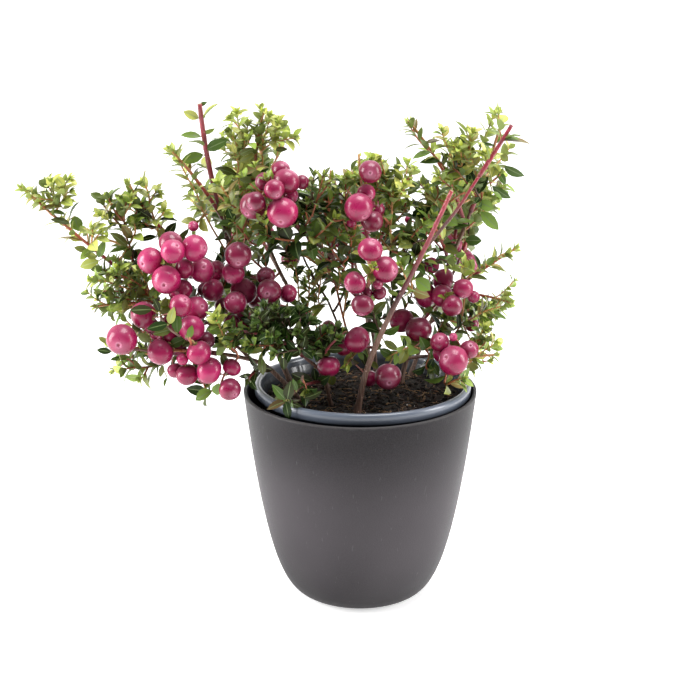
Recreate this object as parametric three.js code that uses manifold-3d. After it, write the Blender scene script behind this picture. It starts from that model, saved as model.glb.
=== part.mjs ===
// A potted prickly heath: a small evergreen berry shrub in its nursery pot, set in a tapering planter.
// Millimetres, +Z up, the origin at the centre of the planter's flat underside, and the front at -Y.
// Woody stems rise from the soil. Each mass of foliage is one solid: a stem with twigs, leaves and berries.
import * as THREE from "three";
import { mergeVertices } from "three/addons/utils/BufferGeometryUtils.js";
import Module from "manifold-3d";

const wasm = await Module();
wasm.setup();

// Planter: the outer radius grows from the flat foot to the rim as a power of the height.
const RIM_RADIUS = 65;
const FOOT_RADIUS = 27;
const PLANTER_HEIGHT = 120;
const PLANTER_SWELL = 0.36;
const PLANTER_WALL = 2.2;
const PLANTER_FLOOR = 3.5;
const PLANTER_SIDES = 32;

// Nursery pot: a thin tapering pot with a rolled lip, standing a little askew in the planter.
const NURSERY_FOOT_RADIUS = 42;
const NURSERY_NECK_RADIUS = 57.6;
const NURSERY_LIP_RADIUS = 60.2;
const NURSERY_LIP_INSIDE = 56.6;
const NURSERY_LIP_HEIGHT = 6.5;
const NURSERY_HEIGHT = 103;
const NURSERY_WALL = 1.3;
const NURSERY_LIFT = 21;
const NURSERY_SHIFT = [1.6, -1.9];
const NURSERY_TILT = THREE.MathUtils.degToRad(1.4);
const NURSERY_SIDES = 28;

// Soil
const SOIL_TOP = 94;
const SOIL_SIDES = 24;

// Wood
const FIT_GAP = 0.3;
const SPARE_GAP = 0.05;
const SOIL_GAP = 0.4;
const LIMB_SIDES = 6;
const LIMB_STEPS = 5;
const ROOT_FLARE = 1.45;
const FLARE_REACH = 0.09;
const LEVEL_FOOT = 1.2;

// Foliage and fruit. The leaves are larger and fewer than on the living plant.
const LEAF_LENGTH = 18;
const LAST_LEAF = 16;
const LEAF_WIDTH = 0.5;
const WIDEST_PART = 0.48;
const LEAF_THICKNESS = 1.3;
const LEAF_DROOP = 0.07;
const ROOT_DEPTH = 0.2;
const STEM_SIDES = 4;
const STEM_TURN = 0.7;
const STEM_BEND = 0.45;
const STEM_LEAVES_FROM = 0.2;
const STEM_LEAF_SPACING = 6;
const TWIG_SIDES = 3;
const TWIG_RADIUS = 0.62;
const TWIG_LIFT = 0.2;
const TWIG_LEAVES_FROM = 0.3;
const TWIG_LEAF_SPACING = 4;
const TWIG_TRIALS = 12;
const FIRST_TWIG = 0.1;
const TWIGGED_STRETCH = 0.6;
const SHORTEST_TWIG = 1.3;
const TWIG_COLLAR = 3;
const LEAF_APART = 3.8;
const BERRY_RADIUS = 7.2;
const SMALL_BERRIES = 0.15;
const SMALL_BERRY = 0.55;
const BERRY_SAG = 0.2;
const BERRY_COLUMNS = 6;
const BERRY_ROWS = 4;
const BERRY_STALK = 1.6;
const BERRY_GAP = 0.4;
const STALK_RADIUS = 0.55;
const STALK_DEPTH = 0.1;
const SETTLE_ROUNDS = 60;
const LEAF_ROOM = 1.4;
const SPACE_MARGIN = 0.04;
const LIMB_CLEARANCE = 0.7;
const RIM_CLEARANCE = 3;

// Limbs: where each leaves the soil or its parent limb, the points that it bends through to its tip,
// and its radius at both ends.
const LIMBS = [
  {
    name: "front_stem",
    root: [-2, -30],
    through: [[4, -32, 143], [15, -36, 172], [31, -41, 206], [47, -44, 243]],
    radius: [2.6, 1.6],
  },
  {
    name: "front_fork",
    on: "front_stem", at: 0.78,
    through: [[50, -34, 230], [62, -28, 247]],
    radius: [1.4, 1.2],
  },
  {
    name: "right_stem",
    root: [23, 24],
    through: [[29, 25, 136], [43, 22, 170], [55, 20, 200], [61, 20, 216]],
    radius: [2.2, 1.4],
  },
  {
    name: "right_branch",
    on: "right_stem", at: 0.42,
    through: [[47, 12, 170], [56, 8, 178]],
    radius: [1.4, 1.1],
  },
  {
    name: "right_low_branch",
    on: "right_stem", at: 0.18,
    through: [[37, 8, 136], [45, -6, 140]],
    radius: [1.5, 1.2],
  },
  {
    name: "centre_stem",
    root: [9, 21],
    through: [[7, 24, 146], [-4, 16, 175], [-15, 6, 193], [-26, -4, 206]],
    radius: [1.9, 1.2],
  },
  {
    name: "centre_branch",
    on: "centre_stem", at: 0.3,
    through: [[7, 12, 178], [4, -3, 204]],
    radius: [1.4, 1.1],
  },
  {
    name: "centre_front_branch",
    on: "centre_stem", at: 0.22,
    through: [[5, 4, 158], [4, -16, 178]],
    radius: [1.4, 1.1],
  },
  {
    name: "left_low_stem",
    root: [-32, -10],
    through: [[-51, -14, 137], [-66, -18, 144], [-78, -21, 147]],
    radius: [2.1, 1.5],
  },
  {
    name: "left_far_branch",
    on: "left_low_stem", at: 0.5,
    through: [[-82, -4, 158], [-104, -2, 167], [-121, -3, 181]],
    radius: [1.5, 1.1],
  },
  {
    name: "low_front_stem",
    root: [-16, -16],
    through: [[-21, -22, 136], [-31, -28, 148]],
    radius: [1.8, 1.3],
  },
  {
    name: "tall_stem",
    root: [-37, 10],
    through: [[-52, 12, 150], [-66, 11, 180], [-74, 9, 208], [-79, 8, 230]],
    radius: [2.3, 1.5],
  },
  {
    name: "left_branch",
    on: "tall_stem", at: 0.52,
    through: [[-82, 10, 190], [-97, 8, 200]],
    radius: [1.4, 1.1],
  },
  {
    name: "crown_left_stem",
    root: [-18, 12],
    through: [[-32, 14, 156], [-48, 13, 192], [-54, 11, 214]],
    radius: [1.8, 1.2],
  },
  {
    name: "back_left_stem",
    root: [-17, 34],
    through: [[-34, 46, 150], [-52, 58, 182]],
    radius: [1.9, 1.2],
  },
  {
    name: "back_stem",
    root: [5, 40],
    through: [[4, 52, 146], [-3, 64, 176]],
    radius: [1.9, 1.2],
  },
  {
    name: "back_right_stem",
    root: [29, 38],
    through: [[42, 50, 146], [57, 60, 176]],
    radius: [1.9, 1.2],
  },
];

// Masses: the limb that each grows from, the tip that its stem reaches, the girth of its space round that
// stem, its side twigs, and its berries with the stretch of stem that they hang on.
const MASSES = [
  { name: "far_left_mass", on: "left_far_branch", tip: [-182, -6, 236], girth: 27, twigs: 6 },
  { name: "left_outer_mass", on: "left_far_branch", at: 0.72, tip: [-144, -16, 172], girth: 20, twigs: 4 },
  { name: "left_low_mass", on: "left_far_branch", at: 0.36, tip: [-136, -14, 134], girth: 22, twigs: 4,
    berries: 2, fruit: [0.6, 0.9] },
  { name: "left_crown_mass", on: "left_branch", tip: [-126, 6, 236], girth: 25, twigs: 6 },
  { name: "left_upper_berries", on: "left_branch", at: 0.55, tip: [-108, -26, 202], girth: 30, twigs: 4,
    berries: 11, fruit: [0.2, 1] },
  { name: "left_lower_berries", on: "left_low_stem", tip: [-105, -34, 153], girth: 34, twigs: 5,
    berries: 14, fruit: [0.05, 1] },
  { name: "middle_left_berries", on: "tall_stem", at: 0.5, tip: [-46, -20, 184], girth: 26, twigs: 4,
    berries: 9, fruit: [0.3, 1] },
  { name: "tall_shoot", on: "tall_stem", tip: [-86, 5, 279], girth: 19, twigs: 3 },
  { name: "tall_side_mass", on: "tall_stem", at: 0.84, tip: [-102, -2, 256], girth: 17, twigs: 3 },
  { name: "crown_left_mass", on: "crown_left_stem", tip: [-52, 10, 274], girth: 27, twigs: 7 },
  { name: "crown_berries", on: "centre_stem", tip: [-50, -28, 246], girth: 26, twigs: 4,
    berries: 7, fruit: [0.25, 1] },
  { name: "crown_middle_mass", on: "centre_stem", at: 0.74, tip: [-16, 8, 242], girth: 20, twigs: 5 },
  { name: "crown_right_berries", on: "centre_branch", tip: [-1, -16, 256], girth: 23, twigs: 5,
    berries: 5, fruit: [0.2, 0.8] },
  { name: "centre_berries", on: "centre_front_branch", tip: [7, -44, 202], girth: 22, twigs: 3,
    berries: 5, fruit: [0.2, 1] },
  { name: "centre_low_berries", on: "centre_stem", at: 0.16, tip: [-8, -24, 141], girth: 20, twigs: 3,
    berries: 3, fruit: [0.35, 1] },
  { name: "right_inner_mass", on: "right_stem", at: 0.86, tip: [26, 14, 268], girth: 24, twigs: 5 },
  { name: "right_crown_mass", on: "right_stem", tip: [72, 12, 276], girth: 23, twigs: 5 },
  { name: "right_outer_mass", on: "front_fork", tip: [79, -22, 273], girth: 22, twigs: 4 },
  { name: "right_berries", on: "right_stem", at: 0.36, tip: [46, -10, 176], girth: 26, twigs: 4,
    berries: 8, fruit: [0.3, 1] },
  { name: "right_upper_spray", on: "right_branch", tip: [85, 2, 200], girth: 17, twigs: 3 },
  { name: "right_middle_spray", on: "right_branch", at: 0.6, tip: [82, -8, 172], girth: 14, twigs: 3 },
  { name: "right_low_berries", on: "right_low_branch", tip: [74, -20, 146], girth: 20, twigs: 4,
    berries: 4, fruit: [0.1, 0.6] },
  { name: "low_front_mass", on: "low_front_stem", tip: [-64, -40, 166], girth: 23, twigs: 6 },
  { name: "low_inner_mass", on: "low_front_stem", at: 0.62, tip: [-12, -34, 160], girth: 20, twigs: 4 },
  { name: "left_rim_mass", on: "left_low_stem", at: 0.34, tip: [-60, -38, 138], girth: 18, twigs: 4 },
  { name: "rim_rosette", on: "low_front_stem", at: 0.35, tip: [-40, -46, 131], girth: 15, twigs: 2 },
  { name: "back_left_mass", on: "back_left_stem", tip: [-88, 76, 216], girth: 30, twigs: 5,
    berries: 3, fruit: [0.2, 0.6] },
  { name: "back_mass", on: "back_stem", tip: [-16, 99, 220], girth: 30, twigs: 5,
    berries: 3, fruit: [0.2, 0.6] },
  { name: "back_right_mass", on: "back_right_stem", tip: [66, 80, 204], girth: 28, twigs: 5,
    berries: 3, fruit: [0.2, 0.6] },
  { name: "back_left_low_mass", on: "back_left_stem", at: 0.5, tip: [-86, 60, 152], girth: 22, twigs: 3 },
  { name: "back_right_low_mass", on: "back_right_stem", at: 0.45, tip: [80, 58, 150], girth: 22, twigs: 3 },
  { name: "back_crown_left_mass", on: "crown_left_stem", at: 0.8, tip: [-56, 50, 250], girth: 25,
    twigs: 4 },
  { name: "back_crown_mass", on: "centre_stem", at: 0.5, tip: [4, 53, 237], girth: 26, twigs: 4 },
  { name: "back_crown_right_mass", on: "right_stem", at: 0.66, tip: [56, 56, 244], girth: 24, twigs: 4 },
  { name: "centre_right_mass", on: "centre_branch", at: 0.7, tip: [26, -6, 240], girth: 20, twigs: 3 },
  { name: "right_middle_mass", on: "right_stem", at: 0.62, tip: [33, -2, 222], girth: 20, twigs: 3 },
  { name: "centre_left_mass", on: "centre_stem", at: 0.4, tip: [-36, 8, 198], girth: 18, twigs: 2 },
];

const EAST = new THREE.Vector3(1, 0, 0);
const NORTH = new THREE.Vector3(0, 1, 0);
const UP = new THREE.Vector3(0, 0, 1);

const MATERIALS = {
  planter: new THREE.MeshStandardMaterial({ color: 0x4b4849, roughness: 0.55, metalness: 0 }),
  nursery: new THREE.MeshStandardMaterial({ color: 0x2b323b, roughness: 0.35, metalness: 0 }),
  soil: new THREE.MeshStandardMaterial({ color: 0x2a1c14, roughness: 0.95, metalness: 0 }),
  wood: new THREE.MeshStandardMaterial({ color: 0x6b4436, roughness: 0.7, metalness: 0 }),
  foliage: new THREE.MeshStandardMaterial({ color: 0x3f6b2c, roughness: 0.4, metalness: 0 }),
  fruiting: new THREE.MeshStandardMaterial({ color: 0xb23a72, roughness: 0.3, metalness: 0 }),
};

// A seeded row of numbers from 0 to 1.
function dice(seed) {
  const [spread, step, size] = [7919, 16807, 2147483647];
  let state = (seed * spread) % size;
  return () => {
    state = (state * step) % size;
    return state / size;
  };
}

function vector(point) {
  return new THREE.Vector3(...point);
}

function namedMesh(name, geometry, material) {
  const mesh = new THREE.Mesh(geometry, material);
  mesh.name = name;
  return mesh;
}

// A profile of [radius, height] pairs turned round the Z axis.
function turned(profile, sides) {
  const outline = profile.map(([radius, height]) => new THREE.Vector2(radius, height));
  return new THREE.LatheGeometry(outline, sides).rotateX(Math.PI / 2);
}

function planterRadius(height) {
  return FOOT_RADIUS + (RIM_RADIUS - FOOT_RADIUS) * (height / PLANTER_HEIGHT) ** PLANTER_SWELL;
}

function planter() {
  const wallSteps = 6;
  const footCrowding = 2.2;
  const lip = 1;
  const edgeInset = 0.6;
  const outside = [];
  const inside = [];
  for (let i = 0; i <= wallSteps; i++) {
    const share = (i / wallSteps) ** footCrowding;
    const outerHeight = share * (PLANTER_HEIGHT - lip);
    const innerHeight = PLANTER_FLOOR + share * (PLANTER_HEIGHT - lip - PLANTER_FLOOR);
    outside.push([planterRadius(outerHeight), outerHeight]);
    inside.push([planterRadius(innerHeight) - PLANTER_WALL, innerHeight]);
  }
  const edge = [
    [RIM_RADIUS - edgeInset, PLANTER_HEIGHT],
    [RIM_RADIUS - PLANTER_WALL + edgeInset, PLANTER_HEIGHT],
  ];
  const profile = [[0, 0], ...outside, ...edge, ...inside.reverse(), [0, PLANTER_FLOOR]];
  return namedMesh("planter", turned(profile, PLANTER_SIDES), MATERIALS.planter);
}

// The nursery pot and its soil lean together, turned about the centre of the pot's foot.
function nurseryGroup() {
  const neck = NURSERY_HEIGHT - NURSERY_LIP_HEIGHT;
  const lipInset = 1;
  const roll = 0.5;
  const pot = turned(
    [
      [0, 0],
      [NURSERY_FOOT_RADIUS, 0],
      [NURSERY_NECK_RADIUS, neck],
      [NURSERY_LIP_RADIUS - roll, neck + roll],
      [NURSERY_LIP_RADIUS, neck + 3 * roll],
      [NURSERY_LIP_RADIUS, NURSERY_HEIGHT - lipInset],
      [NURSERY_LIP_RADIUS - lipInset, NURSERY_HEIGHT],
      [NURSERY_LIP_INSIDE + lipInset, NURSERY_HEIGHT],
      [NURSERY_LIP_INSIDE, NURSERY_HEIGHT - lipInset],
      [NURSERY_NECK_RADIUS - NURSERY_WALL, neck],
      [NURSERY_FOOT_RADIUS - NURSERY_WALL, NURSERY_WALL],
      [0, NURSERY_WALL],
    ],
    NURSERY_SIDES,
  );
  const soil = turned(
    [
      [0, NURSERY_WALL + FIT_GAP],
      [nurseryInside(NURSERY_WALL + FIT_GAP) - 2 * FIT_GAP, NURSERY_WALL + FIT_GAP],
      [nurseryInside(SOIL_TOP) - 2 * FIT_GAP, SOIL_TOP],
      [0, SOIL_TOP],
    ],
    SOIL_SIDES,
  );
  const group = new THREE.Group();
  group.add(namedMesh("nursery_pot", pot, MATERIALS.nursery), namedMesh("soil", soil, MATERIALS.soil));
  group.position.set(...NURSERY_SHIFT, NURSERY_LIFT);
  group.rotation.x = -NURSERY_TILT;
  return group;
}

// Radius of the nursery pot's inner wall at a height above its foot.
function nurseryInside(height) {
  const neck = NURSERY_HEIGHT - NURSERY_LIP_HEIGHT;
  const share = (height - NURSERY_WALL) / (neck - NURSERY_WALL);
  return THREE.MathUtils.lerp(NURSERY_FOOT_RADIUS, NURSERY_NECK_RADIUS, share) - NURSERY_WALL;
}

// Height of the leaning soil's surface under a point.
function soilHeight(y) {
  return NURSERY_LIFT + SOIL_TOP * Math.cos(NURSERY_TILT) - (y - NURSERY_SHIFT[1]) * Math.tan(NURSERY_TILT);
}

// The directions of a ring at a share of a curve: along it, across its upper side, and level aside.
function frameAt(curve, share) {
  const chord = curve.getPoint(1).sub(curve.getPoint(0));
  const reference = Math.abs(chord.x) < Math.abs(chord.y) ? EAST : NORTH;
  const along = curve.getTangent(share);
  const rise = new THREE.Vector3().crossVectors(along, reference).normalize();
  const aside = new THREE.Vector3().crossVectors(rise, along);
  return { along, rise, aside };
}

// Whether a point lies above the rims, outside the planter, or over the soil within the nursery pot.
function clearOfPots(point) {
  const out = Math.hypot(point.x, point.y);
  const aboveRims = point.z > NURSERY_LIFT + NURSERY_HEIGHT + RIM_CLEARANCE;
  const overSoil = out < NURSERY_LIP_INSIDE - RIM_CLEARANCE && point.z > soilHeight(point.y) + FIT_GAP;
  return aboveRims || overSoil || out > RIM_RADIUS + RIM_CLEARANCE;
}

// The way out from a tube's axis through the middle of one of its faces.
function outOfFace(frame, face, sides) {
  const angle = -Math.PI / 2 + ((face + 0.5) * 2 * Math.PI) / sides;
  const out = frame.rise.clone().multiplyScalar(Math.sin(angle));
  return out.addScaledVector(frame.aside, Math.cos(angle));
}

// A closed tube along a curve, from the rings given as [share of the curve, half width, half thickness].
// A last ring of no width is a point.
function tube(curve, rings, sides) {
  const steps = rings.length - 1;
  const geometry = new THREE.CylinderGeometry(1, 1, 1, sides, steps, false, -Math.PI / 2);
  const position = geometry.attributes.position;
  for (let i = 0; i < position.count; i++) {
    const [share, wide, thick] = rings[Math.round((position.getY(i) + 0.5) * steps)];
    const { rise, aside } = frameAt(curve, share);
    const point = curve.getPoint(share);
    point.addScaledVector(rise, position.getX(i) * thick).addScaledVector(aside, position.getZ(i) * wide);
    position.setXYZ(i, point.x, point.y, point.z);
  }
  return geometry;
}

// Evenly spaced round rings whose radius changes along the curve.
function roundRings(radiusAt, steps) {
  return Array.from({ length: steps + 1 }, (_, i) => [i / steps, radiusAt(i / steps), radiusAt(i / steps)]);
}

// A solid from a geometry, without the faces that a pointed end has pressed to nothing.
function solid(geometry) {
  const bare = new THREE.BufferGeometry().setAttribute("position", geometry.attributes.position);
  if (geometry.index) bare.setIndex(geometry.index);
  const merged = mergeVertices(bare, 1e-3);
  const corners = merged.index.array;
  const whole = [];
  for (let i = 0; i < corners.length; i += 3) {
    const [a, b, c] = corners.slice(i, i + 3);
    if (a !== b && b !== c && c !== a) whole.push(a, b, c);
  }
  return new wasm.Manifold(
    new wasm.Mesh({
      numProp: 3,
      vertProperties: Float32Array.from(merged.attributes.position.array),
      triVerts: Uint32Array.from(whole),
    }),
  );
}

// Back to a geometry: the largest body's outer skin, which drops loose scraps and fills sealed hollows.
function geometryOf(made) {
  const bodies = made.decompose().sort((a, b) => b.volume() - a.volume());
  const mesh = bodies[0].getMesh();
  return new THREE.BufferGeometry()
    .setAttribute("position", new THREE.BufferAttribute(Float32Array.from(mesh.vertProperties), 3))
    .setIndex(new THREE.BufferAttribute(Uint32Array.from(mesh.triVerts), 1));
}

// The curve of a limb, and its radius along it. A limb from the soil flares at its root.
function limbCurve(limb, limbs) {
  const start = limb.on
    ? limbs.get(limb.on).curve.getPoint(limb.at)
    : new THREE.Vector3(...limb.root, soilHeight(limb.root[1]) + SOIL_GAP);
  const curve = new THREE.CatmullRomCurve3([start, ...limb.through.map(vector)], false, "catmullrom");
  const [base, end] = limb.radius;
  const radiusAt = (share) => {
    const flare = limb.on ? 1 : 1 + (ROOT_FLARE - 1) * Math.max(0, 1 - share / FLARE_REACH) ** 2;
    return THREE.MathUtils.lerp(base, end, share) * flare;
  };
  return { ...limb, curve, radiusAt };
}

// A flat cut: the root ring of a limb from the soil is laid level.
function levelFoot(geometry, height) {
  const position = geometry.attributes.position;
  for (let i = 0; i < position.count; i++) {
    if (position.getZ(i) < height + LEVEL_FOOT) position.setZ(i, height);
  }
  return geometry;
}

function limbGeometry(limb) {
  const geometry = tube(limb.curve, roundRings(limb.radiusAt, LIMB_STEPS), LIMB_SIDES);
  return limb.on ? geometry : levelFoot(geometry, limb.curve.getPoint(0).z);
}

function swollen(limb) {
  const gap = FIT_GAP / Math.cos(Math.PI / LIMB_SIDES) + SPARE_GAP;
  return solid(tube(limb.curve, roundRings((share) => limb.radiusAt(share) + gap, LIMB_STEPS), LIMB_SIDES));
}

// Where a mass starts: at its limb's tip, just clear of it, or on the limb's axis at a share of its length.
function massCurve(mass, limbs) {
  const limb = limbs.get(mass.on);
  const tip = vector(mass.tip);
  const atTip = mass.at === undefined;
  const start = limb.curve.getPoint(atTip ? 1 : mass.at);
  const along = limb.curve.getTangent(atTip ? 1 : mass.at);
  if (atTip) start.addScaledVector(along, FIT_GAP);
  const reach = start.distanceTo(tip);
  const heading = atTip ? along : along.lerp(tip.clone().sub(start).normalize(), STEM_TURN).normalize();
  const bend = start.clone().addScaledVector(heading, STEM_BEND * reach);
  return new THREE.QuadraticBezierCurve3(start, bend, tip);
}

function distanceToLine(point, line) {
  const segment = new THREE.Line3();
  const nearest = new THREE.Vector3();
  let least = Infinity;
  for (let i = 1; i < line.length; i++) {
    segment.set(line[i - 1], line[i]).closestPointToPoint(point, true, nearest);
    least = Math.min(least, nearest.distanceTo(point));
  }
  return least;
}

// How far a point lies from a mass's stem, as a share of the mass's girth.
function shareOfGirth(point, mass) {
  return distanceToLine(point, mass.line) / mass.girth;
}

// A point is in a mass's space if it lies little further from its stem than the girth, and nearer to that
// stem than to any other mass's.
function inSpace(point, mass, masses) {
  const own = shareOfGirth(point, mass);
  if (own > LEAF_ROOM) return false;
  return masses.every((other) => other === mass || shareOfGirth(point, other) > own + SPACE_MARGIN);
}

function clearOfLimbs(point, limbs) {
  for (const limb of limbs.values()) {
    if (distanceToLine(point, limb.line) < limb.radius[0] + LIMB_CLEARANCE) return false;
  }
  return true;
}

// A direction that leans away from an axis, on the side of another direction, by an angle.
function leaning(axis, side, angle) {
  return axis.clone().multiplyScalar(Math.cos(angle)).addScaledVector(side, Math.sin(angle)).normalize();
}

// The rings of a stem: wood that tapers, and a last leaf that is its pointed end.
function stemRings(length, base, end) {
  const leafFoot = 1 - LAST_LEAF / length;
  const middle = (base + end) / 2;
  return [[0, base, base], [leafFoot / 2, middle, middle], [leafFoot, end, end], ...lastLeaf(length)];
}

// The rings of a side twig, whose pointed root is sunk in the stem.
function twigRings(length) {
  const collar = [TWIG_COLLAR / length, TWIG_RADIUS, TWIG_RADIUS];
  const leafFoot = [1 - LAST_LEAF / length, TWIG_RADIUS, TWIG_RADIUS];
  return [[0, 0, 0], collar, leafFoot, ...lastLeaf(length)];
}

function lastLeaf(length) {
  return [[1 - LAST_LEAF / (2 * length), 0.5 * LEAF_WIDTH * LAST_LEAF, LEAF_THICKNESS / 2], [1, 0, 0]];
}

// Points along the middle of a shoot's or a leaf's outer part, which keep the others off.
function spine(curve, from) {
  return [0, 1, 2, 3].map((i) => curve.getPoint(THREE.MathUtils.lerp(from, 1, i / 3)));
}

function apartFrom(points, taken) {
  return points.every((point) => taken.every((other) => point.distanceTo(other) > LEAF_APART));
}

// Points along both edges of a shoot's outer part.
function shootEdges(curve, rings) {
  const points = [];
  for (let i = 1; i < rings.length; i++) {
    for (const part of [0.35, 0.7, 1]) {
      const share = THREE.MathUtils.lerp(rings[i - 1][0], rings[i][0], part);
      const wide = THREE.MathUtils.lerp(rings[i - 1][1], rings[i][1], part);
      if (share < 0.25) continue;
      const { aside } = frameAt(curve, share);
      points.push(curve.getPoint(share).addScaledVector(aside, wide));
      points.push(curve.getPoint(share).addScaledVector(aside, -wide));
    }
  }
  return points;
}

// A twig's curve: out of the stem, then lifting a little towards the light.
function twigCurve(start, heading, length) {
  const bend = start.clone().addScaledVector(heading, 0.5 * length);
  const end = start.clone().addScaledVector(heading, 0.9 * length).addScaledVector(UP, TWIG_LIFT * length);
  return new THREE.QuadraticBezierCurve3(start, bend, end);
}

// The side twigs of a mass: spaced evenly along its stem, each out of one of the stem's faces, and
// shortened, moved or turned until they fit their space.
function sideTwigs(mass, taken, fits) {
  const roll = dice(mass.seed);
  const twigs = [];
  for (let i = 0; i < mass.twigs; i++) {
    const first = FIRST_TWIG + (TWIGGED_STRETCH * (i + 0.5)) / mass.twigs;
    const face = Math.floor(roll() * STEM_SIDES);
    const splay = 0.75 + 0.35 * roll();
    const reach = mass.girth * (1.5 - 0.7 * first) * (0.9 + 0.25 * roll());
    for (let trial = 0; trial < TWIG_TRIALS; trial++) {
      const share = first + 0.01 * trial;
      const frame = frameAt(mass.curve, share);
      const length = Math.max(reach * 0.9 ** trial, SHORTEST_TWIG * LAST_LEAF);
      const heading = leaning(frame.along, outOfFace(frame, face + 2 * i + trial, STEM_SIDES), splay);
      const start = mass.curve.getPoint(share).addScaledVector(heading, -ROOT_DEPTH);
      const curve = twigCurve(start, heading, length);
      const rings = twigRings(length);
      const middle = spine(curve, 0.35);
      if (apartFrom(middle, taken) && fits(shootEdges(curve, rings))) {
        const bearing = { from: TWIG_LEAVES_FROM, spacing: TWIG_LEAF_SPACING };
        twigs.push({ curve, length, rings, sides: TWIG_SIDES, ...bearing });
        taken.push(...middle);
        break;
      }
    }
  }
  return twigs;
}

// A leaf of six faces: flat above and keeled below, its root sunk in the twig, its tip bent down a little.
function leaf(root, heading, normal, length) {
  const across = new THREE.Vector3().crossVectors(normal, heading).normalize();
  const [base, tip, left, right, keel] = [0, 1, 2, 3, 4];
  const corners = [-1, 0, 0, 1, 0, 0, 0, 1, 0, 0, -1, 0, 0, 0, -1];
  const upper = [tip, left, right, base, right, left];
  const lower = [tip, right, keel, tip, keel, left, base, keel, right, base, left, keel];
  const geometry = new THREE.PolyhedronGeometry(corners, [...upper, ...lower], 1, 0);
  const position = geometry.attributes.position;
  for (let i = 0; i < position.count; i++) {
    const [x, y, z] = [position.getX(i), position.getY(i), position.getZ(i)];
    const share = Math.abs(x) < 0.5 ? WIDEST_PART : (x + 1) / 2;
    const point = root.clone().addScaledVector(heading, share * length);
    point.addScaledVector(across, y * 0.5 * LEAF_WIDTH * length);
    point.addScaledVector(normal, z * LEAF_THICKNESS - LEAF_DROOP * length * share ** 2);
    position.setXYZ(i, point.x, point.y, point.z);
  }
  return geometry;
}

// The points of a solid's faces: their corners, the middles of their edges and their own middles.
function touchPoints(geometry) {
  const position = geometry.attributes.position;
  const cornerAt = (index) => new THREE.Vector3().fromBufferAttribute(position, index);
  const points = [];
  for (let i = 0; i < position.count; i += 3) {
    const [a, b, c] = [cornerAt(i), cornerAt(i + 1), cornerAt(i + 2)];
    const middles = [a.clone().lerp(b, 0.5), b.clone().lerp(c, 0.5), c.clone().lerp(a, 0.5)];
    points.push(a, b, c, ...middles, middles[1].clone().lerp(a, 1 / 3));
  }
  return points;
}

// Leaves stand round a shoot's wood, each out of one of its faces and steeper towards the tip. Each is
// turned on round the shoot until it fits its space, and left out where it never does.
function shootLeaves(shoot, roll, taken, fits) {
  const leaves = [];
  const leafFoot = 1 - LAST_LEAF / shoot.length;
  const count = Math.max(1, Math.round(((leafFoot - shoot.from) * shoot.length) / shoot.spacing));
  for (let i = 0; i < count; i++) {
    const share = THREE.MathUtils.lerp(shoot.from, leafFoot, (i + 0.6) / count);
    const frame = frameAt(shoot.curve, share);
    const length = LEAF_LENGTH * (0.85 + 0.3 * roll());
    const face = i + Math.floor(roll() * shoot.sides);
    const lean = 1 - 0.3 * share;
    for (let trial = 0; trial < shoot.sides; trial++) {
      const heading = leaning(frame.along, outOfFace(frame, face + trial, shoot.sides), lean);
      const normal = frame.along.clone().addScaledVector(heading, -frame.along.dot(heading)).normalize();
      const root = shoot.curve.getPoint(share).addScaledVector(heading, -ROOT_DEPTH);
      const made = leaf(root, heading, normal, length);
      const middle = spine(new THREE.LineCurve3(root, root.clone().addScaledVector(heading, length)), 0.4);
      if (apartFrom(middle, taken) && fits(touchPoints(made))) {
        leaves.push(made);
        taken.push(...middle);
        break;
      }
    }
  }
  return leaves;
}

// Berries hang round the stem on short stalks and settle until they no longer press into each other.
// Any that still do are a little smaller.
function settledBerries(mass, fits) {
  const roll = dice(mass.seed + 500);
  const berries = [];
  const [from, to] = mass.fruit;
  for (let i = 0; i < mass.berries; i++) {
    const share = from + ((to - from) * (i + 0.5)) / mass.berries;
    const size = roll();
    const radius = BERRY_RADIUS * (size < SMALL_BERRIES ? SMALL_BERRY : 0.7 + 0.4 * size);
    const out = outOfFace(frameAt(mass.curve, share), i + (i % 3) / 3 + roll() / 4, STEM_SIDES);
    const foot = mass.curve.getPoint(share);
    const centre = foot.clone().addScaledVector(out, radius + BERRY_STALK);
    berries.push({ foot, centre: centre.addScaledVector(UP, -BERRY_SAG * radius), radius });
  }
  for (let round = 0; round < SETTLE_ROUNDS; round++) {
    for (const a of berries) {
      for (const b of berries) {
        const apart = a.centre.clone().sub(b.centre);
        const overlap = a.radius + b.radius + BERRY_GAP - apart.length();
        if (a !== b && overlap > 0) a.centre.addScaledVector(apart.normalize(), 0.5 * overlap);
      }
      const fromFoot = a.centre.clone().sub(a.foot);
      const slack = a.radius + BERRY_STALK - fromFoot.length();
      a.centre.addScaledVector(fromFoot.normalize(), (slack > 0 ? 0.5 : 0.06) * slack);
    }
  }
  for (const a of berries) {
    for (const b of berries) {
      const room = a.centre.distanceTo(b.centre) - BERRY_GAP;
      const press = a === b ? 1 : room / (a.radius + b.radius);
      if (press < 1) [a.radius, b.radius] = [a.radius * press, b.radius * press];
    }
  }
  return berries.filter((berry) => fits(ballPoints(berry)));
}

function ballPoints({ centre, radius }) {
  const points = [];
  for (const axis of [EAST, NORTH, UP]) {
    for (const side of [-1, 1]) points.push(centre.clone().addScaledVector(axis, side * radius));
  }
  return points;
}

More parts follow.
